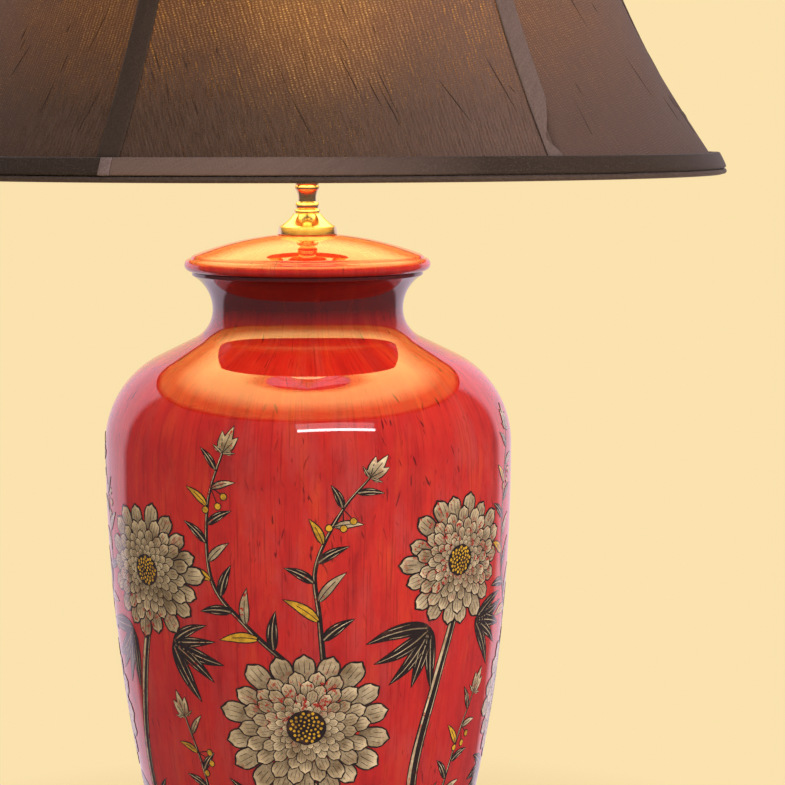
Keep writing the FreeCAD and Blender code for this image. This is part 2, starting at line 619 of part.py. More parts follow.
def make_lid():
    ceiling = "levels.mouth + sizes.lid_thickness"
    ring_outer = "levels.mouth_bore - sizes.spigot_clearance"
    ring_inner = f"{ring_outer} - sizes.spigot_wall"
    ring_foot = "levels.mouth - sizes.spigot_depth"
    lean = "(sizes.dome_edge / sizes.dome_radius)"
    roll_end_radius = f"sizes.dome_edge + sizes.roll_radius * (sin(sizes.roll_slope) - {lean})"
    roll_end = (f"levels.dome_edge_level - sizes.roll_radius"
                f" * (sqrt(1 - {lean} ^ 2) - cos(sizes.roll_slope))")
    turned("lid", [
        ("sizes.pipe_hole", ceiling),
        (ring_inner, ceiling),
        (ring_inner, ring_foot),
        (ring_outer, ring_foot),
        (ring_outer, "levels.mouth"),
        ("sizes.lip_radius", "levels.mouth"),
        (roll_end_radius, roll_end, "sizes.nose_radius", "left"),
        ("sizes.dome_edge", "levels.dome_edge_level", "sizes.roll_radius", "left"),
        ("levels.lid_flat_radius", "levels.lid_flat", "sizes.dome_radius", "left"),
        ("sizes.pipe_hole", "levels.lid_flat")])


# Brass vase cap, neck, pipe and its nuts

def make_brass():
    edge_top = "levels.lid_flat + sizes.cap_edge"
    turned("vase_cap", [
        ("levels.turned_bore", "levels.lid_flat"),
        ("sizes.cap_radius", "levels.lid_flat"),
        ("sizes.cap_radius", edge_top, "sizes.cap_edge_round", "left"),
        ("sizes.cap_radius - sizes.cap_rim", edge_top),
        ("sizes.cap_top", "levels.neck_foot", "sizes.cap_curve", "right"),
        ("levels.turned_bore", "levels.neck_foot")])
    turned("neck", [
        ("levels.turned_bore", "levels.neck_foot"),
        ("sizes.collar_radius", "levels.neck_foot"),
        ("sizes.collar_radius", "levels.bead_foot", "sizes.collar_round", "left"),
        ("sizes.bead_radius", "levels.bead_foot"),
        ("sizes.bead_radius", "levels.waist_foot", "sizes.bead_round", "left"),
        ("sizes.waist_radius", "levels.waist_foot"),
        ("sizes.waist_radius", "levels.flare_foot"),
        ("sizes.ring_radius", "levels.ring_foot", "sizes.flare_curve", "right"),
        ("sizes.ring_radius", "levels.second_ring", "sizes.ring_round", "left"),
        ("sizes.ring_radius", "levels.cone_foot", "sizes.ring_round", "left"),
        ("sizes.table_radius", "levels.table_foot"),
        ("sizes.table_radius", "levels.neck_top"),
        ("levels.turned_bore", "levels.neck_top")])


def hexagon_nut(label, foot, height):
    block = primitive("Part::Prism", f"{label}_block", Circumradius="sizes.nut_radius", Height=height)
    thread = primitive("Part::Cylinder", f"{label}_thread", Radius="sizes.pipe_radius", Height=height)
    for item in (block, thread):
        item.setExpression("Placement.Base.z", foot)
    pieces[label] = cut(label, block, thread)


def make_pipe():
    tube("lamp_pipe", "sizes.pipe_bore", "sizes.pipe_radius", "levels.pipe_foot", "levels.pipe_top")
    tube("bottom_washer", "levels.turned_bore", "sizes.washer_radius", "levels.washer_foot",
         "levels.recess_ceiling")
    hexagon_nut("bottom_nut", "levels.bottom_nut_foot", "sizes.bottom_nut_height")
    hexagon_nut("saddle_nut", "levels.saddle_top", "sizes.saddle_nut_height")


# Socket and switch

def side_window(body, radius, reach=None):
    # A hole towards the front, for the switch shaft.
    window = new_sketch(body, f"{body.Name}_window", "XZ_Plane")
    draw_circle(window, "0", "levels.shaft_level", radius)
    return pocket(body, window, reach)


def make_socket():
    turned("socket_cap", [
        ("sizes.pipe_radius", "levels.socket_foot"),
        ("sizes.socket_collar", "levels.socket_foot"),
        ("sizes.socket_collar", "levels.cap_dome_foot"),
        ("levels.cap_outer", "levels.cap_dome_top", "sizes.cap_dome_round", "left"),
        ("levels.cap_outer", "levels.cap_rim"),
        ("levels.cap_inner", "levels.cap_rim"),
        ("levels.cap_inner", "levels.cap_dome_top"),
        ("sizes.socket_collar", "levels.cap_dome_foot + sizes.cap_wall", "sizes.cap_dome_round", "right"),
        ("sizes.pipe_radius", "levels.cap_dome_foot + sizes.cap_wall")])
    shell = tube("socket_shell", "sizes.shell_radius - sizes.shell_wall", "sizes.shell_radius",
                 "levels.cap_dome_top", "levels.shell_top")
    side_window(shell, "sizes.window_radius")
    sleeve = tube("insulating_sleeve", "levels.liner_inner", "levels.liner_outer",
                  "levels.cap_dome_top", "levels.shell_top - sizes.liner_drop")
    side_window(sleeve, "sizes.window_radius")
    core = turned("socket_core", [
        ("0", "levels.core_foot"),
        ("sizes.core_radius", "levels.core_foot"),
        ("sizes.core_radius", "levels.disc_foot"),
        ("levels.disc_radius", "levels.disc_foot"),
        ("levels.disc_radius", "levels.disc_top"),
        ("0", "levels.disc_top")])
    shaft_hole = new_sketch(core, "shaft_hole", "XZ_Plane",
                            "sizes.core_radius - sizes.shaft_socket - sizes.shaft_end_gap")
    draw_circle(shaft_hole, "0", "levels.shaft_level", "sizes.shaft_radius + sizes.shaft_clearance")
    pocket(core, shaft_hole)
    tube("screw_shell", "levels.screw_inner", "levels.screw_outer", "levels.disc_top",
         "levels.disc_top + sizes.screw_height")
    turned("centre_contact", [
        ("0", "levels.disc_top"),
        ("sizes.contact_radius", "levels.disc_top"),
        ("sizes.contact_face", "levels.disc_top + sizes.contact_thickness"),
        ("0", "levels.disc_top + sizes.contact_thickness")])
    heads = []
    for side in (-1, 1):
        head = primitive("Part::Cylinder", "terminal_head", Radius="sizes.terminal_radius",
                         Height="sizes.terminal_head + sizes.terminal_seat")
        inner = value("sizes.core_radius - sizes.terminal_seat")
        height = value("levels.core_foot + sizes.terminal_lift")
        set_place(head, Vector(side * inner, 0, height), FreeCAD.Rotation(Vector(0, 1, 0), side * 90))
        heads.append(head)
    pair = doc.addObject("Part::Compound", "terminal_pair")
    pair.Links = heads
    pieces["terminal_screws"] = cut("terminal_screws", pair, core)


def make_switch():
    # Turned about a level axis: built upright, then laid towards the front.
    knob_start = "sizes.shell_radius + sizes.knob_gap"
    lay_down = FreeCAD.Rotation(Vector(1, 0, 0), 90)
    shaft = turned("switch_shaft", [
        ("0", "sizes.core_radius - sizes.shaft_socket"),
        ("sizes.shaft_radius", "sizes.core_radius - sizes.shaft_socket"),
        ("sizes.shaft_radius", f"{knob_start} + sizes.knob_bore_depth"),
        ("0", f"{knob_start} + sizes.knob_bore_depth")])
    end = f"{knob_start} + sizes.knob_length"
    knob = turned("switch_knob", [
        ("sizes.shaft_radius", knob_start),
        ("sizes.knob_neck", knob_start),
        ("sizes.knob_radius", f"{knob_start} + sizes.knob_shoulder"),
        ("sizes.knob_radius", f"{end} - sizes.knob_edge"),
        ("sizes.knob_radius - sizes.knob_edge", end, "sizes.knob_edge", "left"),
        ("0", end),
        ("0", f"{knob_start} + sizes.knob_bore_depth"),
        ("sizes.shaft_radius", f"{knob_start} + sizes.knob_bore_depth")])
    flute = new_sketch(knob, "flute", "XY_Plane", f"{knob_start} + sizes.knob_shoulder")
    draw_circle(flute, "sizes.knob_radius + sizes.flute_offset", "0", "sizes.flute_radius")
    groove = pocket(knob, flute)
    doc.recompute()
    flutes = knob.newObject("PartDesign::PolarPattern", "flutes")
    flutes.Originals = [groove]
    flutes.Axis = (flute, ["N_Axis"])
    flutes.Angle = 360
    flutes.setExpression("Occurrences", "sizes.flute_count")
    knob.Tip = flutes
    for item in (shaft, knob):
        set_place(item, Vector(0, 0, value("levels.shaft_level")), lay_down)


# Harp: saddle, bow, sleeves and swivel

def make_saddle():
    saddle = new_body("harp_saddle")
    span, half = "sizes.saddle_span", "sizes.saddle_width / 2"
    strip = new_sketch(saddle, "saddle_strip", "XY_Plane", "levels.neck_top")
    draw_box(strip, f"-{span}", f"-{half}", span, half)
    pad(saddle, strip, "sizes.saddle_thickness")
    ends = new_sketch(saddle, "saddle_ends", "XY_Plane", "levels.neck_top")
    for side in ("-", ""):
        draw_circle(ends, side + span, "0", half)
    pad(saddle, ends, "sizes.saddle_thickness")
    ears = new_sketch(saddle, "saddle_ears", "XY_Plane", "levels.neck_top")
    thick = "sizes.saddle_thickness / 2"
    for side in ("-", ""):
        draw_box(ears, f"{side}{span} - {thick}", "-sizes.ear_width / 2",
                 f"{side}{span} + {thick}", "sizes.ear_width / 2")
    pad(saddle, ears, "sizes.saddle_thickness + sizes.ear_height")
    hole = new_sketch(saddle, "saddle_hole", "XY_Plane", "levels.neck_top")
    draw_circle(hole, "0", "0", "levels.turned_bore")
    pocket(saddle, hole)


def make_harp():
    harp = new_body("harp")
    span, side = "sizes.saddle_span", "sizes.harp_half_width"
    middle = f"({span} + {side}) / 2"
    bend, arch = "sizes.bend_radius", "levels.arch_radius"
    bend_middle = "(levels.leg_top + levels.side_foot) / 2"
    path = new_sketch(harp, "harp_path", "XZ_Plane")
    draw(path, [
        (f"-{span}", "levels.harp_foot_middle"),
        (f"-{span}", "levels.leg_top"),
        (f"-{middle}", bend_middle, bend, "left"),
        (f"-{side}", "levels.side_foot", bend, "right"),
        (f"-{side}", f"levels.harp_top - {arch}"),
        ("-sizes.harp_flat", "levels.harp_top", arch, "right"),
        ("sizes.harp_flat", "levels.harp_top"),
        (side, f"levels.harp_top - {arch}", arch, "right"),
        (side, "levels.side_foot"),
        (middle, bend_middle, bend, "right"),
        (span, "levels.leg_top", bend, "left"),
        (span, "levels.harp_foot_middle")], closed=False)
    section = new_sketch(harp, "harp_section", "XY_Plane", "levels.harp_foot_middle")
    draw_circle(section, f"-{span}", "0", "sizes.wire_radius")
    doc.recompute()
    wire = harp.newObject("PartDesign::AdditivePipe", "harp_wire")
    wire.Profile = section
    wire.Spine = path
    doc.recompute()
    feet = new_sketch(harp, "harp_feet", "XY_Plane", "levels.harp_foot")
    for mark in ("-", ""):
        draw_circle(feet, mark + span, "0", "sizes.harp_foot_radius")
    pad(harp, feet, "sizes.harp_foot_height")
    drum = new_sketch(harp, "harp_drum", "XY_Plane", "levels.drum_foot")
    draw_circle(drum, "0", "0", "sizes.drum_radius")
    pad(harp, drum, "sizes.drum_height")
    slots = new_sketch(harp, "harp_slots", "XY_Plane", "levels.harp_foot")
    across = "(sizes.saddle_thickness / 2 + sizes.slot_clearance)"
    deep = "(sizes.ear_width / 2 + sizes.slot_clearance)"
    for mark in ("-", ""):
        draw_box(slots, f"{mark}{span} - {across}", f"-{deep}", f"{mark}{span} + {across}", deep)
    pocket(harp, slots, "sizes.ear_height + sizes.slot_clearance")
    bore = new_sketch(harp, "swivel_bore", "XY_Plane", "levels.drum_foot")
    draw_circle(bore, "0", "0", "sizes.rivet_radius + sizes.shaft_clearance")
    pocket(harp, bore)


def make_sleeves():
    for label, side in (("sleeve_left", "-"), ("sleeve_right", "")):
        sleeve = tube(label, "levels.sleeve_inner", "levels.sleeve_outer", "levels.harp_foot",
                      "levels.harp_foot + sizes.sleeve_height")
        sleeve.setExpression("Placement.Base.x", side + "sizes.saddle_span")


def make_swivel():
    head_top = "levels.drum_foot - sizes.rest_gap"
    head_foot = f"{head_top} - sizes.rivet_head_height"
    turned("shade_swivel", [
        ("0", head_foot),
        ("sizes.rivet_head", head_foot),
        ("sizes.rivet_head", head_top),
        ("sizes.rivet_radius", head_top),
        ("sizes.rivet_radius", "levels.disc_seat"),
        ("sizes.table_disc_radius", "levels.disc_seat"),
        ("sizes.table_disc_radius", "levels.hub_seat"),
        ("sizes.stud_radius", "levels.hub_seat"),
        ("sizes.stud_radius", "levels.stud_top"),
        ("0", "levels.stud_top")])


# Bulb

def make_bulb():
    foot, wall = "levels.bulb_foot", "sizes.bulb_cap_wall"
    cone_foot = f"{foot} + sizes.tip_height"
    thread_foot = f"{cone_foot} + sizes.bulb_cone"
    turned("bulb_tip", [
        ("0", foot),
        ("sizes.tip_face", foot),
        ("sizes.tip_radius", cone_foot),
        ("0", cone_foot)])
    turned("bulb_cap", [
        ("0", cone_foot),
        ("sizes.tip_radius", cone_foot),
        ("sizes.bulb_cap_radius", thread_foot),
        ("sizes.bulb_cap_radius", "levels.cap_top_level"),
        (f"sizes.bulb_cap_radius - {wall}", "levels.cap_top_level"),
        (f"sizes.bulb_cap_radius - {wall}", f"{thread_foot} + {wall}"),
        ("sizes.tip_radius", f"{cone_foot} + {wall}"),
        ("0", f"{cone_foot} + {wall}")])
    spigot = f"sizes.bulb_cap_radius - {wall} - sizes.screw_clearance"
    inner = "sizes.glass_wall"
    inner_round_radius = f"levels.round_foot_radius * (sizes.bulb_radius - {inner}) / sizes.bulb_radius"
    inner_round = (f"levels.glass_centre - (levels.glass_centre - levels.round_foot)"
                   f" * (sizes.bulb_radius - {inner}) / sizes.bulb_radius")
    turned("bulb_glass", [
        (f"{spigot} - {inner}", "levels.glass_foot"),
        (spigot, "levels.glass_foot"),
        (spigot, "levels.glass_shoulder"),
        ("sizes.glass_neck", "levels.glass_shoulder"),
        ("sizes.glass_neck", "levels.curve_foot"),
        ("levels.round_foot_radius", "levels.round_foot", "sizes.glass_curve", "right"),
        ("sizes.bulb_radius", "levels.glass_centre", "sizes.bulb_radius", "left"),
        ("0", "levels.glass_centre + sizes.bulb_radius", "sizes.bulb_radius", "left"),
        ("0", f"levels.glass_centre + sizes.bulb_radius - {inner}"),
        (f"sizes.bulb_radius - {inner}", "levels.glass_centre", f"sizes.bulb_radius - {inner}", "right"),
        (inner_round_radius, inner_round, f"sizes.bulb_radius - {inner}", "right"),
        (f"sizes.glass_neck - {inner}", "levels.curve_foot", f"sizes.glass_curve + {inner}", "left"),
        (f"sizes.glass_neck - {inner}", f"levels.glass_shoulder + {inner}"),
        (f"{spigot} - {inner}", f"levels.glass_shoulder + {inner}")])


# Shade: wire frame, silk, lining, tapes and trims

def rib_heading(index):
    # The ribs are even, but for the first, which was tied a little nearer to the second.
    shift = 0 if index % value("sizes.rib_count") else value("sizes.first_rib_shift")
    return value("sizes.first_rib_angle") + shift + index * 360 / value("sizes.rib_count")


def lie_on_bell(item, heading, depth, ends, short, shift=0):
    # Places a ring segment, drawn round +Z from +X, along the bell's outline in an upright
    # plane at the heading, and returns the angle that it spans, in degrees. It runs between
    # two levels, less a short stretch at each end.
    radius = value(f"levels.bell_curve + {depth}")
    low, high = (math.asin(value(f"levels.bell_centre - {end}") / radius) + side * value(short) / radius
                 for end, side in zip(ends, (-1, 1)))
    outward = Vector(math.cos(math.radians(heading)), math.sin(math.radians(heading)), 0)
    sideways = Vector(outward.y, -outward.x, 0)
    upward = Vector(0, 0, 1)
    start = outward * -math.cos(high) - upward * math.sin(high)
    centre = outward * value("levels.bell_centre_radius") + upward * value("levels.bell_centre")
    turn = FreeCAD.Rotation(start, sideways.cross(start), sideways, "ZXY")
    set_place(item, centre + sideways * shift, turn)
    return math.degrees(low - high)


def make_frame():
    for end in ("bottom", "top"):
        label = f"{end}_ring"
        ring = primitive("Part::Torus", label, Radius2="sizes.ring_wire",
                         Radius1=bell_radius("levels.ring_depth", f"levels.{label}_level"))
        ring.setExpression("Placement.Base.z", f"levels.{label}_level")
        pieces[label] = ring
    for index in range(int(value("sizes.rib_count"))):
        label = f"rib_{index + 1}"
        rib = primitive("Part::Torus", label, Radius1="levels.bell_curve + levels.rib_depth",
                        Radius2="sizes.rib_wire")
        rib.Angle3 = lie_on_bell(rib, rib_heading(index), "levels.rib_depth",
                                 ("levels.bottom_ring_level", "levels.top_ring_level"), "sizes.ring_wire")
        pieces[label] = rib


def make_spider():
    hub = turned("spider_hub", [
        ("sizes.hub_hole", "levels.hub_foot"),
        ("sizes.hub_radius", "levels.hub_foot"),
        ("sizes.hub_radius", "levels.hub_top"),
        ("sizes.hub_hole", "levels.hub_top")])
    del pieces["spider_hub"]
    inner = value("sizes.hub_radius - sizes.arm_wire")
    hub_middle = value("(levels.hub_foot + levels.hub_top) / 2")
    outer = value(bell_radius("levels.ring_depth", "levels.top_ring_level"))
    rise = value("levels.top_ring_level") - hub_middle
    arms = []
    for index in range(int(value("sizes.arm_count"))):
        heading = math.radians(value("sizes.first_rib_angle") + index * 360 / value("sizes.arm_count"))
        outward = Vector(math.cos(heading), math.sin(heading), 0)
        along = outward * (outer - inner) + Vector(0, 0, rise)
        arm = primitive("Part::Cylinder", f"arm_{index + 1}", Radius="sizes.arm_wire")
        arm.Height = along.Length
        set_place(arm, outward * inner + Vector(0, 0, hub_middle), FreeCAD.Rotation(Vector(0, 0, 1), along))
        arms.append(arm)
    spider = doc.addObject("Part::MultiFuse", "spider_rough")
    spider.Shapes = [hub] + arms
    pieces["spider"] = cut("spider", spider, pieces["top_ring"])


def gore_section(height, half, depth, thickness):
    share = (height - value("levels.shade_foot")) / value("sizes.shade_height")
    tautness = value("sizes.flatness_ratio") * (4 * share * (1 - share)) ** 2
    outer, inner = (value(bell_radius(layer, str(height))) for layer in (depth, f"{depth} + {thickness}"))
    fall = outer * (1 - math.cos(half)) * tautness

    def ends_and_middle(radius):
        side = [Vector(radius * math.cos(half), sign * radius * math.sin(half), height) for sign in (-1, 1)]
        return side[0], Vector(radius - fall, 0, height), side[1]

    out_start, out_middle, out_end = ends_and_middle(outer)
    in_start, in_middle, in_end = ends_and_middle(inner)
    return Part.Wire([
        Part.Arc(out_start, out_middle, out_end).toShape(),
        Part.makeLine(out_end, in_end),
        Part.Arc(in_end, in_middle, in_start).toShape(),
        Part.makeLine(in_start, out_start)])


def gore(name, index, depth, thickness, margin):
    # The skin between two ribs: round at both rings, nearly flat halfway up.
    start, end = rib_heading(index), rib_heading(index + 1)
    half = math.radians(end - start) / 2
    low = value(f"levels.shade_foot + {margin}")
    high = value(f"levels.shade_top - {margin}")
    count = int(value("sizes.section_count"))
    heights = [low + (high - low) * step / (count - 1) for step in range(count)]
    item = doc.addObject("Part::Feature", name)
    sections = [gore_section(height, half, depth, thickness) for height in heights]
    item.Shape = Part.makeLoft(sections, True, False)
    set_place(item, Vector(0, 0, 0), FreeCAD.Rotation(Vector(0, 0, 1), (start + end) / 2))
    return item


def make_silk():
    count = int(value("sizes.rib_count"))
    for index in range(count):
        label = f"silk_{index + 1}"
        pieces[label] = gore(label, index, "0", "sizes.silk_thickness", "0")
    lining = doc.addObject("Part::Compound", "lining")
    lining.Links = [gore(f"lining_{index + 1}", index, "levels.lining_depth", "sizes.lining_thickness",
                         "sizes.lining_margin") for index in range(count)]
    pieces["lining"] = lining
    for index in range(count):
        label = f"tape_{index + 1}"
        outer = primitive("Part::Cylinder", f"{label}_face", Height="sizes.tape_width",
                          Radius="levels.bell_curve - sizes.tape_gap")
        inner = primitive("Part::Cylinder", f"{label}_back", Height="sizes.tape_width",
                          Radius="levels.bell_curve - sizes.tape_gap - sizes.tape_thickness")
        for item in (outer, inner):
            item.Angle = lie_on_bell(item, rib_heading(index), "0",
                                     ("levels.band_top_level", "levels.top_band_foot"),
                                     "sizes.frame_gap", -value("sizes.tape_width") / 2)
        pieces[label] = cut(label, outer, inner)


def make_trims():
    foot_inner = bell_radius("-sizes.frame_gap", "levels.band_foot_level")
    top_inner = bell_radius("-sizes.frame_gap", "levels.band_top_level")
    turned("trim_band", [
        (foot_inner, "levels.band_foot_level"),
        (bell_radius("0", "levels.band_foot_level") + " + sizes.band_foot_proud", "levels.band_foot_level"),
        (bell_radius("0", "levels.band_top_level") + " + sizes.band_top_proud", "levels.band_top_level"),
        (top_inner, "levels.band_top_level")])
    roll_level = "levels.shade_foot + sizes.roll_edge_radius"
    roll = primitive("Part::Torus", "rolled_edge", Radius2="sizes.roll_edge_radius",
                     Radius1=bell_radius("0", roll_level) + " + sizes.frame_gap + sizes.roll_edge_radius")
    roll.setExpression("Placement.Base.z", roll_level)
    pieces["rolled_edge"] = roll
    low = "levels.top_band_foot"
    low_inner = bell_radius("-sizes.frame_gap", low)
    high_inner = bell_radius("-sizes.frame_gap", "levels.shade_top")
    turned("top_band", [
        (low_inner, low),
        (f"{low_inner} + sizes.top_band_thickness", low),
        (f"{high_inner} + sizes.top_band_thickness", "levels.shade_top"),
        (high_inner, "levels.shade_top")])


# Finial

def make_finial():
    foot = "levels.hub_top + sizes.rest_gap"
    bore = "sizes.stud_radius + sizes.screw_clearance"
    bore_end = "levels.stud_top + sizes.rest_gap"
    peg_end = f"{bore_end} + sizes.finial_web"
    foot_top = f"{peg_end} + sizes.rest_gap + sizes.finial_peg_length"
    turned("finial_foot", [
        (bore, foot),
        ("sizes.finial_foot", foot),
        ("sizes.finial_foot", f"{foot} + sizes.finial_step"),
        ("sizes.finial_neck", foot_top, "sizes.finial_cove", "right"),
        ("sizes.finial_peg + sizes.screw_clearance", foot_top),
        ("sizes.finial_peg + sizes.screw_clearance", peg_end),
        ("0", peg_end),
        ("0", bore_end),
        (bore, bore_end)])
    ball_foot = f"{foot_top} + sizes.rest_gap"
    neck = "sizes.finial_neck"
    ball_start = f"{ball_foot} + sizes.finial_lift"
    centre = f"({ball_start} + sqrt(sizes.finial_radius ^ 2 - {neck} ^ 2))"
    tip_foot = f"({centre} + sqrt(sizes.finial_radius ^ 2 - sizes.finial_tip_neck ^ 2))"
    tip_top = f"{tip_foot} + sizes.finial_tip + sqrt(sizes.finial_tip ^ 2 - sizes.finial_tip_neck ^ 2)"
    turned("finial_ball", [
        ("0", f"{foot_top} - sizes.finial_peg_length"),
        ("sizes.finial_peg", f"{foot_top} - sizes.finial_peg_length"),
        ("sizes.finial_peg", ball_foot),
        (neck, ball_foot),
        (neck, ball_start),
        ("sizes.finial_radius", centre, "sizes.finial_radius", "left"),
        ("sizes.finial_tip_neck", tip_foot, "sizes.finial_radius", "left"),
        ("sizes.finial_tip", f"{tip_top} - sizes.finial_tip", "sizes.finial_tip", "left"),
        ("0", tip_top, "sizes.finial_tip", "left")])


# Check and write

def check_document():
    for item in doc.Objects:
        if {"Invalid", "Error"} & set(item.State):
            raise RuntimeError(f"{item.Label} did not build: {item.State}")
    for label, piece in pieces.items():
        piece.Label = label
        if piece.Shape.isNull() or not piece.Shape.isValid() or not piece.Shape.Solids:
            raise RuntimeError(f"{label} has no valid solid")


def write_pieces():
    os.makedirs("parts", exist_ok=True)
    for label, piece in pieces.items():
        piece.Shape.exportStep(f"parts/{label}.step")
        box = piece.Shape.BoundBox
        print(f"{label:18} solids {len(piece.Shape.Solids)}  volume {piece.Shape.Volume:12.1f}"
              f"  z {box.ZMin:7.2f} to {box.ZMax:7.2f}  x {box.XMin:8.2f} to {box.XMax:7.2f}")


fill_sheet()
for set_group in (set_levels, set_socket_levels, set_harp_levels, set_shade_levels):
    set_group()
for make in (make_stand, make_jar, make_lid, make_brass, make_pipe, make_socket, make_switch, make_saddle,
             make_harp, make_sleeves, make_swivel, make_bulb, make_frame, make_spider, make_silk,
             make_trims, make_finial):
    make()
doc.recompute()
check_document()
write_pieces()
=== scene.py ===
import bpy
import bmesh
import math
import random
from mathutils import Matrix, Vector, noise


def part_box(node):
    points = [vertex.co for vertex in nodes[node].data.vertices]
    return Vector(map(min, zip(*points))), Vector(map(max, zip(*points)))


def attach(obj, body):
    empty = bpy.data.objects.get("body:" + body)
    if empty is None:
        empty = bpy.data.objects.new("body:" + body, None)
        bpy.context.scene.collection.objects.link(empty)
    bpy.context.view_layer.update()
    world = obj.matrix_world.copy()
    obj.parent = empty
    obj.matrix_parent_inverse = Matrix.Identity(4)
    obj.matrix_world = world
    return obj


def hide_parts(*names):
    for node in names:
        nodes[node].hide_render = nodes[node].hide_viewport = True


# Jar lamp with a bell shade. Sizes are in millimetres and become metres where a mesh is made, and
# angles are in degrees. Finishes, node trees, lights and the backdrop are in metres throughout, and
# angles inside a node tree are in radians.

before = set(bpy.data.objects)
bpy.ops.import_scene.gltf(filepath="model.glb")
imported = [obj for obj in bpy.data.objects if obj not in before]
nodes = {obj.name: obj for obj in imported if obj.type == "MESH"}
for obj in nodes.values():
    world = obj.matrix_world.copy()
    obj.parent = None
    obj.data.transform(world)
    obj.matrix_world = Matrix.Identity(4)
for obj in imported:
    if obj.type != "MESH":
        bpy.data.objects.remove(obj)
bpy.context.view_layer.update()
mm = 0.001
turn = 2 * math.pi
sharpAngle = 35.0
weldDistance = 0.000002  # metres
bpy.context.scene.view_settings.view_transform = "Standard"


# Node trees

class Wire:
    # A value in a node tree. Sums and products of wires become the tree's maths nodes.
    def __init__(self, tree, socket):
        self.tree, self.socket = tree, socket

    def maths(self, operation, other=0.0):
        return self.tree.add("ShaderNodeMath", {0: self, 1: other}, operation=operation)

    def __add__(self, other):
        return self.maths("ADD", other)

    def __sub__(self, other):
        return self.maths("SUBTRACT", other)

    def __rsub__(self, other):
        return self.tree.add("ShaderNodeMath", {0: other, 1: self}, operation="SUBTRACT")

    def __mul__(self, other):
        return self.maths("MULTIPLY", other)

    def __truediv__(self, other):
        return self.maths("DIVIDE", other)

    def vector(self, operation, other=(0, 0, 0)):
        return self.tree.add("ShaderNodeVectorMath", {0: self, 1: other}, operation=operation)

    def scaled(self, factor):
        return self.tree.add("ShaderNodeVectorMath", {0: self, 3: factor}, operation="SCALE")

    def stretched(self, across, along, up):
        return self.vector("MULTIPLY", (across, along, up))

    def rotated(self, angle):
        return self.tree.add("ShaderNodeVectorRotate", {"Vector": self, "Angle": angle},
                             rotation_type="Z_AXIS")

    def parts(self):
        return self.tree.add("ShaderNodeSeparateXYZ", {0: self}, (0, 1, 2))

    def ramp(self, low, high, start=0.0, end=1.0):
        return self.tree.add("ShaderNodeMapRange", {0: self, 1: low, 2: high, 3: start, 4: end})

    def noise(self, scale, detail=3.0, roughness=0.55):
        return self.tree.add("ShaderNodeTexNoise", {
            "Vector": self, "Scale": scale, "Detail": detail, "Roughness": roughness})

    def tones(self, low, high, first, second):
        return self.tree.mix(self.ramp(low, high), first, second)

    def layer(self, tone, low, high, share, colour):
        # Lays a colour over a tone: none where this pattern is low, the full share where it's high.
        return self.tree.mix(self.ramp(low, high, 0.0, share), tone, colour)


class Tree:
    def __init__(self, nodeTree):
        self.nodeTree = nodeTree

    def fill(self, socket, value):
        if isinstance(value, Wire):
            self.nodeTree.links.new(value.socket, socket)
        else:
            socket.default_value = value

    def add(self, kind, inputs=None, output=0, **settings):
        # Makes a node and hands back one output of it, or a list of those asked for.
        node = self.nodeTree.nodes.new(kind)
        for name, setting in settings.items():
            setattr(node, name, setting)
        for name, value in (inputs or {}).items():
            self.fill(node.inputs[name], value)
        if isinstance(output, tuple):
            return [Wire(self, node.outputs[name]) for name in output]
        return Wire(self, node.outputs[output]) if len(node.outputs) else None

    def xyz(self, x=0.0, y=0.0, z=0.0):
        return self.add("ShaderNodeCombineXYZ", {0: x, 1: y, 2: z})

    def mix(self, share, first, second):
        return self.add("ShaderNodeMix", {0: share, 6: first, 7: second}, 2, data_type="RGBA")

    def blend(self, share, first, second):
        return self.add("ShaderNodeMix", {0: share, 2: first, 3: second})

    def rays(self, *kinds):
        return self.add("ShaderNodeLightPath", {}, tuple(f"Is {kind} Ray" for kind in kinds))


class Finish(Tree):
    # A material. Its patterns lie on the object's own place, or on a cloth map laid out in metres.
    def __init__(self, name, tone, roughness):
        self.material = bpy.data.materials.new(name)
        self.material.use_nodes = True
        super().__init__(self.material.node_tree)
        self.shader = self.nodeTree.nodes["Principled BSDF"]
        self.place, self.cloth = self.add("ShaderNodeTexCoord", {}, ("Object", "UV"))
        self.feed({"Base Color": (*tone[:3], 1.0), "Roughness": roughness})

    def feed(self, sockets):
        for name, value in sockets.items():
            self.fill(self.shader.inputs[name], value)
        return self.material

    def height(self):
        return self.place.parts()[2]

    def heading(self):
        across, along, up = self.place.parts()
        return along.maths("ARCTAN2", across)

    def bump(self, height, distance, strength):
        return self.add("ShaderNodeBump", {"Height": height, "Distance": distance, "Strength": strength})

    def passOn(self, share, kind, inputs):
        # Mixes a share of another shader into the surface.
        plain = Wire(self, self.shader.outputs[0])
        both = self.add("ShaderNodeMixShader", {0: share, 1: plain, 2: self.add(kind, inputs)})
        self.fill(self.nodeTree.nodes["Material Output"].inputs[0], both)


